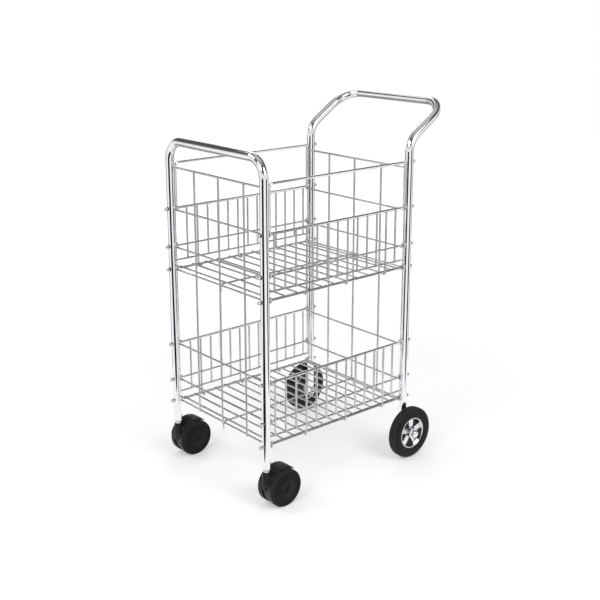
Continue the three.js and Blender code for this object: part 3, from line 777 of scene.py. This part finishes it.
post_low, post_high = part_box("rear_post_right")
handle_low, handle_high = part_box("push_handle")
POST_R = (post_high.x - post_low.x) / 2
shoulder = handle_low.z - GAP
post_profile = [
    (POST_R - TUBE_WALL, post_low.z),
    (POST_R, post_low.z),
    (POST_R, shoulder - POST_CHAMFER),
    (POST_R - POST_CHAMFER, shoulder),
    (NECK_R, shoulder),
    (NECK_R, post_high.z),
    (NECK_R - TUBE_WALL, post_high.z),
    (NECK_R - TUBE_WALL, shoulder - TUBE_WALL),
    (POST_R - TUBE_WALL, shoulder - 3 * TUBE_WALL),
]
for side, sign in SIDES.items():
    shape = bmesh.new()
    add_turned(shape, post_profile, Vector((sign * POST_X, REAR_Y, 0)), Vector((0, 0, 1)), 32)
    mesh = finish_mesh(f"post_tube_{side}", shape, chrome)
    set_piece(f"post_tube_{side}", mesh, "frame", f"rear_post_{side}")

HANDLE_R = LOOP_R
bar_y = handle_high.y - HANDLE_R
bar_z = handle_high.z - HANDLE_R
handle_corners = [
    Vector((-POST_X, REAR_Y, handle_low.z)),
    Vector((-POST_X, REAR_Y, KNEE_Z)),
    Vector((-POST_X, bar_y, bar_z)),
    Vector((POST_X, bar_y, bar_z)),
    Vector((POST_X, REAR_Y, KNEE_Z)),
    Vector((POST_X, REAR_Y, handle_low.z)),
]
handle_bends = [KNEE_BEND, BAR_BEND, BAR_BEND, KNEE_BEND]
shape = bmesh.new()
add_tube(shape, rounded_line(handle_corners, handle_bends, 14), HANDLE_R, HANDLE_WALL)
set_piece("handle_tube", finish_mesh("handle_tube", shape, chrome), "frame", "push_handle")
print("Handle bar is", round(bar_z, 3), "m up and reaches", round(bar_y - REAR_Y, 3), "m back")

# %% [markdown]
# ## End panels
# Each end panel is a grid of wire. The six cross wires end in eyes that the side rods pass through, and
# three uprights are welded to their outer side. An eye could be a separate ring, but bending the wire
# itself round the rod is how it is really made, and it leaves the small open gap at the tip.

# %% Bend the end panels
WIRE_R = 2.6 * MM
EYE_R = 5.5 * MM
EYE_SWEEP = math.radians(255)
EYE_STEPS = 18
WELD_STEP = 3.7 * MM
UPRIGHT_X = (-102 * MM, 0.0, 102 * MM)


def eye_point(x, y, z, swing):
    return Vector((x + EYE_R * math.sin(swing), y, z - EYE_R * math.cos(swing)))


def eyed_wire(y, z):
    swings = [EYE_SWEEP * step / EYE_STEPS for step in range(EYE_STEPS + 1)]
    left = [eye_point(-POST_X, y, z, -swing) for swing in reversed(swings)]
    right = [eye_point(POST_X, y, z, swing) for swing in swings]
    return left + right


for end, outward in (("front", -1), ("rear", 1)):
    node = f"{end}_end_panel"
    panel_low, panel_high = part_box(node)
    rod_y = panel_high.y - WIRE_R if outward < 0 else panel_low.y + WIRE_R
    upright_y = rod_y + outward * WELD_STEP
    shape = bmesh.new()
    for level in ROD_LEVELS:
        add_bar(shape, eyed_wire(rod_y, level), WIRE_R)
    top_wire = panel_high.z - 2 * MM
    top_end = POST_X - 3.8 * MM
    add_bar(shape, [Vector((-top_end, rod_y, top_wire)), Vector((top_end, rod_y, top_wire))], WIRE_R)
    for x in UPRIGHT_X:
        add_bar(shape, [Vector((x, upright_y, panel_low.z)), Vector((x, upright_y, panel_high.z))], WIRE_R)
    mesh = finish_mesh(f"{end}_grid", shape, grey_plate_painted_shade)
    set_piece(f"{end}_grid", mesh, "frame", node)
    print(end, "panel has", len(ROD_LEVELS) + 1 + len(UPRIGHT_X), "wires")

# %% [markdown]
# ## Basket sides
# A side panel has a thick top rail and three thinner rods, crossed by thirteen uprights. Every fourth
# upright runs on down and hooks under the basket floor. The rods' thin ends go through the posts. Both
# sides are one and the same panel, so the left one is turned round and starts at the rear.

# %% Build the basket sides
RAIL_R = 4.0 * MM
ROD_RISES = [ROD_LEVELS[level] - ROD_LEVELS[0] for level in range(3)]
WIRE_B_RISE = 22 * MM
UPRIGHTS = 13
UPRIGHT_FIRST = 26 * MM
UPRIGHT_PITCH = 33.7 * MM
HOOK_EVERY = 4
HOOK_DROP = 5.5 * MM
HOOK_REACH = 11 * MM
HOOK_BEND = 4.2 * MM
STUB_BELOW = 2 * MM
RAIL_INSET = 16.9 * MM

stud_front, stud_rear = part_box("lower_side_right")[0].y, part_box("lower_side_right")[1].y


def side_panel(shape, x, floor_z, outward):
    def run(rise, front, rear, radius):
        add_bar(shape, [Vector((x, front, floor_z + rise)), Vector((x, rear, floor_z + rise))], radius)

    for rise in ROD_RISES:
        run(rise, stud_front, stud_rear, WIRE_R)
    run(ROD_RISES[2], FRONT_Y + RAIL_INSET, REAR_Y - RAIL_INSET, RAIL_R)
    run(WIRE_B_RISE, FRONT_Y + LOOP_R + GAP, REAR_Y - POST_R - GAP, WIRE_R)
    wire_x = x + outward * WELD_STEP
    tip_x = x - outward * HOOK_REACH
    for count in range(1, UPRIGHTS + 1):
        from_end = UPRIGHT_FIRST + (count - 1) * UPRIGHT_PITCH
        y = MIDDLE_Y + outward * (FRONT_Y + from_end - MIDDLE_Y)
        top = Vector((wire_x, y, floor_z + ROD_RISES[2]))
        if count % HOOK_EVERY:
            foot = Vector((wire_x, y, floor_z + WIRE_B_RISE - STUB_BELOW))
            add_bar(shape, [top, foot], WIRE_R)
        else:
            heel = Vector((wire_x, y, floor_z - HOOK_DROP))
            toe = Vector((tip_x, y, floor_z - HOOK_DROP))
            tip = Vector((tip_x, y, floor_z))
            add_bar(shape, rounded_line([top, heel, toe, tip], [HOOK_BEND] * 2, 6), WIRE_R)


for basket, floor_z in FLOOR_LEVELS.items():
    for side, sign in SIDES.items():
        shape = bmesh.new()
        side_panel(shape, sign * POST_X, floor_z, sign)
        for face in shape.faces:
            height = face.calc_center_median().z - floor_z
            face.material_index = int(height > ROD_RISES[2] - RAIL_R)
        name = f"{basket}_grid_{side}"
        node = f"{basket}_side_{side}"
        set_piece(name, finish_mesh(name, shape, grey_plate_painted_shade, chrome), "frame", node)
print("Built 4 basket sides with", UPRIGHTS, "uprights each")

# %% [markdown]
# ## Basket floors
# A floor is a row of cross wires welded on two edge wires and one middle wire, closer together in the
# lower basket. The middle wire is longer and bends down over the end panels, which keeps the floor
# from sliding.

# %% Build the basket floors
CROSS_WIRES = {"lower": 14, "upper": 12}
CROSS_Y = 220 * MM
EDGE_X = POST_X - 5.5 * MM
CROSS_END = EDGE_X + WIRE_R - 0.3 * MM
EDGE_END = CROSS_Y + 2 * MM
MIDDLE_X = 5.8 * MM
MIDDLE_HOOK_Y = 231.5 * MM
MIDDLE_HOOK_DROP = 20 * MM


def basket_floor(shape, z, cross_wires):
    for x in (-EDGE_X, EDGE_X):
        add_bar(shape, [Vector((x, MIDDLE_Y - EDGE_END, z)), Vector((x, MIDDLE_Y + EDGE_END, z))], WIRE_R)
    hooked = [
        Vector((MIDDLE_X, MIDDLE_Y - MIDDLE_HOOK_Y, z - MIDDLE_HOOK_DROP)),
        Vector((MIDDLE_X, MIDDLE_Y - MIDDLE_HOOK_Y, z)),
        Vector((MIDDLE_X, MIDDLE_Y + MIDDLE_HOOK_Y, z)),
        Vector((MIDDLE_X, MIDDLE_Y + MIDDLE_HOOK_Y, z - MIDDLE_HOOK_DROP)),
    ]
    add_bar(shape, rounded_line(hooked, [HOOK_BEND] * 2, 6), WIRE_R)
    for count in range(cross_wires):
        y = MIDDLE_Y - CROSS_Y + 2 * CROSS_Y * count / (cross_wires - 1)
        ends = [Vector((x, y, z + WELD_STEP)) for x in (-CROSS_END, CROSS_END)]
        add_bar(shape, ends, WIRE_R)


for basket, floor_z in FLOOR_LEVELS.items():
    shape = bmesh.new()
    basket_floor(shape, floor_z, CROSS_WIRES[basket])
    name = f"{basket}_floor_wires"
    set_piece(name, finish_mesh(name, shape, grey_plate_painted_shade), "frame", f"{basket}_floor")
    print("Built the", basket, "floor with", CROSS_WIRES[basket], "cross wires")

# %% [markdown]
# ## File rails
# Two bright rods along the top of the upper basket carry hanging files. Each is bent down at the front
# to stand on the basket, has a straight leg at the rear, and ends in a stud through the handle.

# %% Bend the file rails
FILE_RAIL_R = 3.5 * MM
FILE_RAIL_BEND = 12 * MM

for side, sign in SIDES.items():
    node = f"file_rail_{side}"
    rail_low, rail_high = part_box(node)
    x = sign * POST_X
    rail_z = middle_of(f"nut_handle_{side}").z
    front_y = FRONT_Y + LOOP_R + GAP + FILE_RAIL_R
    shoulder_y = REAR_Y - HANDLE_R - GAP
    rear_y = shoulder_y - FILE_RAIL_R
    corners = [
        Vector((x, front_y, rail_low.z)),
        Vector((x, front_y, rail_z)),
        Vector((x, shoulder_y, rail_z)),
    ]
    shape = bmesh.new()
    add_bar(shape, rounded_line(corners, [FILE_RAIL_BEND], 10), FILE_RAIL_R, 16)
    add_bar(shape, [Vector((x, rear_y, rail_low.z)), Vector((x, rear_y, rail_z))], FILE_RAIL_R, 16)
    add_bar(shape, [Vector((x, rear_y, rail_z)), Vector((x, rail_high.y, rail_z))], WIRE_R)
    name = f"file_rod_{side}"
    set_piece(name, finish_mesh(name, shape, chrome), "frame", node)
    print("File rail", side, "is", round(rail_z, 3), "m up")

# %% [markdown]
# ## Cap nuts
# Every rod end carries a domed nut. All twenty-six are alike, so one mesh is made and shared. Its rings
# start as a hexagon and become round at the chamfer, which a plain cone on a prism can't show.

# %% Turn one cap nut
NUT_CORNER = 5.8 * MM
NUT_SIDES = 36
NUT_LENGTH = 10.3 * MM


def hex_radius(angle):
    within = (angle + math.pi / 6) % (math.pi / 3) - math.pi / 6
    return NUT_CORNER * math.cos(math.pi / 6) / math.cos(math.pi / 6 - abs(within))


def nut_ring(shape, height, radius_at):
    ring = []
    for step in range(NUT_SIDES):
        angle = 2 * math.pi * step / NUT_SIDES
        radius = radius_at(angle)
        ring.append(shape.verts.new((radius * math.sin(angle), height, radius * math.cos(angle))))
    return ring


DOME = [(4.95, 4.8), (4.35, 5.2), (4.30, 6.4), (4.02, 7.7), (3.3, 8.9), (2.1, 9.8), (0.9, 10.2)]
shape = bmesh.new()
rings = [nut_ring(shape, 0.0, lambda angle: hex_radius(angle) - 0.5 * MM)]
rings.append(nut_ring(shape, 0.5 * MM, hex_radius))
rings.append(nut_ring(shape, 4.0 * MM, hex_radius))
for radius, height in DOME:
    rings.append(nut_ring(shape, height * MM, lambda angle: radius * MM))
rings.append([shape.verts.new((0, NUT_LENGTH, 0))])
skin_rings(shape, rings)
shape.faces.new(rings[0])
# The nuts take the greyer plate, whose darker tone is painted shade.
nut_mesh = finish_mesh("cap_nut", shape, grey_plate_painted_shade)
print("Nut has", len(nut_mesh.polygons), "faces")

# %% Set the cap nuts
def set_nut(node, forward):
    low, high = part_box(node)
    centre = (low + high) / 2
    seat_y = low.y if forward > 0 else high.y
    turn = 0.0 if forward > 0 else math.pi
    set_piece(f"{node}_cap", nut_mesh, "frame", node, (centre.x, seat_y, centre.z), turn)


for side in SIDES:
    for level in range(1, len(ROD_LEVELS) + 1):
        set_nut(f"nut_front_{side}_{level}", -1)
        set_nut(f"nut_rear_{side}_{level}", 1)
    set_nut(f"nut_handle_{side}", 1)
print("Set", 4 * len(ROD_LEVELS) + 2, "nuts")

# %% [markdown]
# ## Caster stems and sockets
# A bright socket plugs the foot of each front leg, and the caster's stem turns in it. Only the socket's
# flange and the stem's collar show, as two steps under the tube. Both are turned profiles.

# %% Turn the sockets and stems
UP = Vector((0, 0, 1))
STEM_R = 5.2 * MM

for side, sign in SIDES.items():
    axis_foot = Vector((sign * POST_X, FRONT_Y, 0))
    low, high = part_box(f"caster_{side}_socket")
    bore = STEM_R + 0.3 * MM
    plug = LOOP_R - TUBE_WALL - GAP
    socket_profile = [
        (bore, low.z),
        (LOOP_R - 0.6 * MM, low.z),
        (LOOP_R, low.z + 0.6 * MM),
        (LOOP_R, low.z + 2.2 * MM),
        (LOOP_R - 0.5 * MM, low.z + 2.7 * MM),
        (plug, low.z + 2.7 * MM),
        (plug, high.z),
        (bore, high.z),
    ]
    shape = bmesh.new()
    add_turned(shape, socket_profile, axis_foot, UP, 32)
    name = f"leg_socket_{side}"
    set_piece(name, finish_mesh(name, shape, zinc), "frame", f"caster_{side}_socket")

    stem_low, stem_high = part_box(f"caster_{side}_stem")
    collar_low = stem_low.z + 31 * MM
    collar_high = collar_low + 6.4 * MM
    collar_r = 8.5 * MM
    stem_profile = [
        (0, stem_low.z),
        (STEM_R, stem_low.z),
        (STEM_R, collar_low),
        (collar_r - 0.8 * MM, collar_low),
        (collar_r, collar_low + 0.8 * MM),
        (collar_r, collar_high - 0.8 * MM),
        (collar_r - 0.8 * MM, collar_high),
        (STEM_R, collar_high),
        (STEM_R, stem_high.z - 1.5 * MM),
        (STEM_R - 1.5 * MM, stem_high.z),
        (0, stem_high.z),
    ]
    shape = bmesh.new()
    add_turned(shape, stem_profile, axis_foot, UP, 32)
    name = f"swivel_stem_{side}"
    set_piece(name, finish_mesh(name, shape, zinc), f"caster_{side}", f"caster_{side}_stem")
print("Turned 2 sockets and 2 stems")

# %% [markdown]
# ## Caster hoods
# The black housing is a middle web between the two wheels, a curved hood over them and a round boss for
# the stem. A boolean could join the three, but overlapping closed shells look the same and keep their
# soft edges, which are drawn as chamfers in each section.

# %% Shape the hoods
ACROSS = Vector((1, 0, 0))
WHEEL_Z = middle_of("caster_right_axle").z
WHEEL_Y = middle_of("caster_right_axle").y
HOOD_FROM = math.radians(56)
HOOD_TO = math.radians(165)
HOOD_STEPS = 32
HOOD_OUTER = 53.6 * MM
HOOD_INNER = 50.8 * MM
HOOD_HALF = 22 * MM
WEB_HALF = 11.2 * MM
WEB_R = 45 * MM
BOSS_R = 10.9 * MM


def add_arc_shell(shape, x, section, start, stop):
    rings = []
    for step in range(HOOD_STEPS + 1):
        angle = start + (stop - start) * step / HOOD_STEPS
        ring = []
        for offset, radius in section:
            y = WHEEL_Y + radius * math.cos(angle)
            z = WHEEL_Z + radius * math.sin(angle)
            ring.append(shape.verts.new((x + offset, y, z)))
        rings.append(ring)
    skin_rings(shape, rings)
    shape.faces.new(reversed(rings[0]))
    shape.faces.new(rings[-1])


def chamfered(half, inner, outer, cut):
    return [
        (-half, inner),
        (-half, outer - cut),
        (-half + 0.3 * cut, outer - 0.3 * cut),
        (-half + cut, outer),
        (half - cut, outer),
        (half - 0.3 * cut, outer - 0.3 * cut),
        (half, outer - cut),
        (half, inner),
    ]


for side, sign in SIDES.items():
    x = sign * POST_X
    hub = Vector((x, WHEEL_Y, WHEEL_Z))
    shape = bmesh.new()
    add_arc_shell(shape, x, chamfered(HOOD_HALF, HOOD_INNER, HOOD_OUTER, 1.8 * MM), HOOD_FROM, HOOD_TO)
    add_arc_shell(shape, x, chamfered(WEB_HALF, 40 * MM, 52 * MM, 0.4 * MM), HOOD_FROM, HOOD_TO)
    web_profile = [
        (4.3 * MM, -WEB_HALF),
        (WEB_R - 1.5 * MM, -WEB_HALF),
        (WEB_R, -WEB_HALF + 1.5 * MM),
        (WEB_R, WEB_HALF - 1.5 * MM),
        (WEB_R - 1.5 * MM, WEB_HALF),
        (4.3 * MM, WEB_HALF),
    ]
    add_turned(shape, web_profile, hub, ACROSS, 64)
    boss_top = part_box(f"caster_{side}_stem")[0].z + 30.7 * MM
    boss_profile = [
        (0, WHEEL_Z),
        (BOSS_R - 2 * MM, WHEEL_Z),
        (BOSS_R, WHEEL_Z + 2 * MM),
        (BOSS_R, boss_top - 2 * MM),
        (BOSS_R - 0.6 * MM, boss_top - 0.6 * MM),
        (BOSS_R - 2 * MM, boss_top),
        (0, boss_top),
    ]
    add_turned(shape, boss_profile, Vector((x, FRONT_Y, 0)), UP, 40)
    name = f"caster_hood_{side}"
    mesh = finish_mesh(name, shape, hood_plastic)
    set_piece(name, mesh, f"caster_{side}", f"caster_{side}_housing")
print("Hoods reach", round(HOOD_OUTER + WHEEL_Z, 4), "m above the floor")

# %% [markdown]
# ## Caster wheels
# Each caster has two broad plastic discs. The face is slightly sunk inside a rounded lip, with a faint
# step round the hub. Spinning one drawn profile gives all of that with smooth normals. The tread band
# has a paler finish of its own, which is painted light.

# %% Turn the caster wheels
TREAD_R = 48.3 * MM
CASTER_PROFILE = [
    (4.3, 0.0),
    (46.4, 0.0),
    (48.2, 0.5),
    (49.0, 2.0),
    (49.0, 12.6),
    (48.8, 13.6),
    (48.2, 14.6),
    (47.3, 15.2),
    (46.0, 15.5),
    (43.6, 15.4),
    (41.8, 14.9),
    (41.0, 14.3),
    (39.6, 14.2),
    (17.4, 14.4),
    (16.6, 14.8),
    (15.4, 14.9),
    (14.4, 14.6),
    (0.0, 14.8),
]
BORE_END = [(0.0, 10.3), (4.3, 10.3)]

for side, sign in SIDES.items():
    for end, facing in (("a", -1), ("b", 1)):
        node = f"caster_{side}_wheel_{end}"
        low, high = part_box(node)
        inner_x = low.x if facing > 0 else high.x
        profile = [(radius * MM, height * MM) for radius, height in BORE_END + CASTER_PROFILE]
        shape = bmesh.new()
        add_turned(shape, profile, Vector((inner_x, WHEEL_Y, WHEEL_Z)), ACROSS * facing, 72)
        # Faces outside the tread radius take the paler tread finish, which is painted light.
        for face in shape.faces:
            middle = face.calc_center_median()
            if math.hypot(middle.y - WHEEL_Y, middle.z - WHEEL_Z) > TREAD_R:
                face.material_index = 1
        name = f"caster_disc_{side}_{end}"
        mesh = finish_mesh(name, shape, wheel_plastic, painted_light_tread)
        set_piece(name, mesh, node, node)
print("Turned 4 caster wheels")

# %% [markdown]
# ## Caster axles
# The short axle inside each caster can't be seen once the wheels are on, so its solid stays as it is and
# only gets the zinc finish.

# %% Finish the caster axles
for side in SIDES:
    axle = frame["nodes"][f"caster_{side}_axle"]
    axle.data.materials.clear()
    axle.data.materials.append(zinc)
print("Finished 2 caster axles")

# %% [markdown]
# ## Rear tyres
# The rear wheels have plump rubber tyres with three grooves round the tread and a raised ring on
# each wall. The grooves are cut into the spun profile, because a groove made only of bump would vanish
# at the silhouette.

# %% Turn the tyres
WHEEL_CENTRE_Z = middle_of("rear_wheel_right_tyre").z
TYRE_R = WHEEL_CENTRE_Z
BEAD_R = 43.3 * MM
GROOVES = (-5.6 * MM, 0.0, 5.6 * MM)
GROOVE_HALF = 0.8 * MM
GROOVE_DEPTH = 2.0 * MM


def tyre_profile():
    wall = [
        (0.0, 12.4),
        (0.8, 13.2),
        (2.4, 13.6),
        (3.4, 13.3),
        (4.4, 13.5),
        (5.6, 14.3),
        (7.2, 14.5),
        (8.4, 14.2),
        (11.0, 14.3),
        (15.0, 14.2),
        (18.6, 13.6),
        (21.6, 12.7),
        (24.2, 11.5),
        (26.0, 10.0),
        (27.1, 8.3),
    ]
    outer = [(BEAD_R + rise * MM, half * MM) for rise, half in wall]
    tread = []
    for middle in GROOVES:
        for offset, radius in (
            (-2 * GROOVE_HALF, TYRE_R),
            (-GROOVE_HALF, TYRE_R - GROOVE_DEPTH),
            (GROOVE_HALF, TYRE_R - GROOVE_DEPTH),
            (2 * GROOVE_HALF, TYRE_R),
        ):
            crown = 0.5 * MM * ((middle + offset) / (8 * MM)) ** 2
            tread.append((radius - crown, middle + offset))
    inner = [(radius, -height) for radius, height in outer]
    return inner + tread + outer[::-1]


for side, sign in SIDES.items():
    node = f"rear_wheel_{side}_tyre"
    shape = bmesh.new()
    add_turned(shape, tyre_profile(), middle_of(node), ACROSS * sign, 96)
    name = f"rubber_tyre_{side}"
    set_piece(name, finish_mesh(name, shape, tyre_rubber), f"rear_wheel_{side}", node)
print("Tyres are", round(2 * TYRE_R, 4), "m across")

# %% [markdown]
# ## Rear rims
# A polished rim fills each tyre: a rolled lip, a hub and five broad spokes in front of a dark well. The
# lip and hub are spun, and each spoke is a tapered block with bevelled edges. The well gets its own
# black finish on the same mesh.

# %% Build the rims
RIM_R = 43 * MM
RIM_INNER = 39.5 * MM
RIM_HALF = 11.5 * MM
HUB_R = 15 * MM
SPOKES = 5
FIRST_SPOKE = math.radians(16)
SPOKE_HALF_T = 3.5 * MM
WELL_BACK = -5.7 * MM
WELL_FRONT = -3.0 * MM


def add_spoke(shape, centre, axis, angle):
    radial = Vector((0, axis.x * math.cos(angle), math.sin(angle)))
    across = axis.cross(radial)
    made = bmesh.ops.create_cube(shape, size=1.0)["verts"]
    for corner in made:
        reach = HUB_R - 2 * MM if corner.co.x < 0 else RIM_INNER + 1.5 * MM
        half_width = 7.0 * MM if corner.co.x < 0 else 9.0 * MM
        place = centre + radial * reach
        place += across * (half_width if corner.co.y > 0 else -half_width)
        place += axis * (SPOKE_HALF_T if corner.co.z > 0 else -SPOKE_HALF_T)
        corner.co = place
    edges = list({edge for corner in made for edge in corner.link_edges})
    bmesh.ops.bevel(shape, geom=edges, offset=1.4 * MM, segments=3, affect="EDGES", profile=0.5)


for side, sign in SIDES.items():
    node = f"rear_wheel_{side}_rim"
    centre = middle_of(f"rear_wheel_{side}_tyre")
    axis = ACROSS * sign
    low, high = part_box(node)
    hub_start, hub_end = sorted(sign * (edge - centre.x) for edge in (low.x, high.x))
    shape = bmesh.new()
    lip = [
        (RIM_INNER, -RIM_HALF + 1 * MM),
        (RIM_INNER + 1 * MM, -RIM_HALF),
        (RIM_R - 0.8 * MM, -RIM_HALF),
        (RIM_R, -RIM_HALF + 0.8 * MM),
        (RIM_R, RIM_HALF - 0.8 * MM),
        (RIM_R - 0.8 * MM, RIM_HALF),
        (RIM_INNER + 1 * MM, RIM_HALF),
        (RIM_INNER, RIM_HALF - 1 * MM),
    ]
    add_turned(shape, lip, centre, axis, 96)
    hub_profile = [
        (5.3 * MM, hub_start),
        (HUB_R - 1 * MM, hub_start),
        (HUB_R, hub_start + 1 * MM),
        (HUB_R, hub_end - 1.5 * MM),
        (HUB_R - 0.5 * MM, hub_end - 0.5 * MM),
        (HUB_R - 1.5 * MM, hub_end),
        (5.3 * MM, hub_end),
    ]
    add_turned(shape, hub_profile, centre, axis, 48)
    for spoke in range(SPOKES):
        add_spoke(shape, centre, axis, 2 * math.pi * spoke / SPOKES + FIRST_SPOKE)
    well = [
        (HUB_R - 1 * MM, WELL_BACK),
        (RIM_INNER + 1 * MM, WELL_BACK),
        (RIM_INNER + 1 * MM, WELL_FRONT),
        (HUB_R - 1 * MM, WELL_FRONT),
    ]
    add_turned(shape, well, centre, axis, 72, 1)
    name = f"wheel_rim_{side}"
    mesh = finish_mesh(name, shape, bright_rim, rim_black)
    set_piece(name, mesh, f"rear_wheel_{side}", node)
print("Rims have", SPOKES, "spokes each")

# %% [markdown]
# ## Wheel caps and stub axles
# A chrome cap is pushed over the end of each stub axle, and the axle's head sits on the inner face of
# the post. Both are turned on the wheel's own line.

# %% Turn the caps and stub axles
CAP_R = 10 * MM

for side, sign in SIDES.items():
    axis = ACROSS * sign
    low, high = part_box(f"rear_wheel_{side}_cap")
    wheel_line = Vector((0, REAR_Y, WHEEL_CENTRE_Z))
    near, far = (low.x, high.x) if sign > 0 else (-high.x, -low.x)
    cap_profile = [
        (5.3 * MM, near),
        (CAP_R - 0.6 * MM, near),
        (CAP_R, near + 0.6 * MM),
        (CAP_R, far - 5.0 * MM),
        (CAP_R - 0.5 * MM, far - 3.6 * MM),
        (CAP_R - 1.8 * MM, far - 2.0 * MM),
        (CAP_R - 4.0 * MM, far - 0.8 * MM),
        (CAP_R - 6.6 * MM, far - 0.2 * MM),
        (0, far),
        (0, near + 4.8 * MM),
        (5.3 * MM, near + 4.8 * MM),
    ]
    shape = bmesh.new()
    add_turned(shape, cap_profile, wheel_line, axis, 48)
    name = f"axle_cap_{side}"
    set_piece(name, finish_mesh(name, shape, chrome), "frame", f"rear_wheel_{side}_cap")

    low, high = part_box(f"rear_wheel_{side}_axle")
    near, far = (low.x, high.x) if sign > 0 else (-high.x, -low.x)
    axle_profile = [
        (0, near),
        (6.6 * MM, near),
        (7.6 * MM, near + 0.6 * MM),
        (8.0 * MM, near + 1.8 * MM),
        (8.0 * MM, near + 5.4 * MM),
        (7.4 * MM, near + 6.0 * MM),
        (5.0 * MM, near + 6.0 * MM),
        (5.0 * MM, far - 0.8 * MM),
        (4.2 * MM, far),
        (0, far),
    ]
    shape = bmesh.new()
    add_turned(shape, axle_profile, wheel_line, axis, 32)
    name = f"stub_bolt_{side}"
    set_piece(name, finish_mesh(name, shape, zinc), "frame", f"rear_wheel_{side}_axle")
print("Turned 2 caps and 2 stub axles")
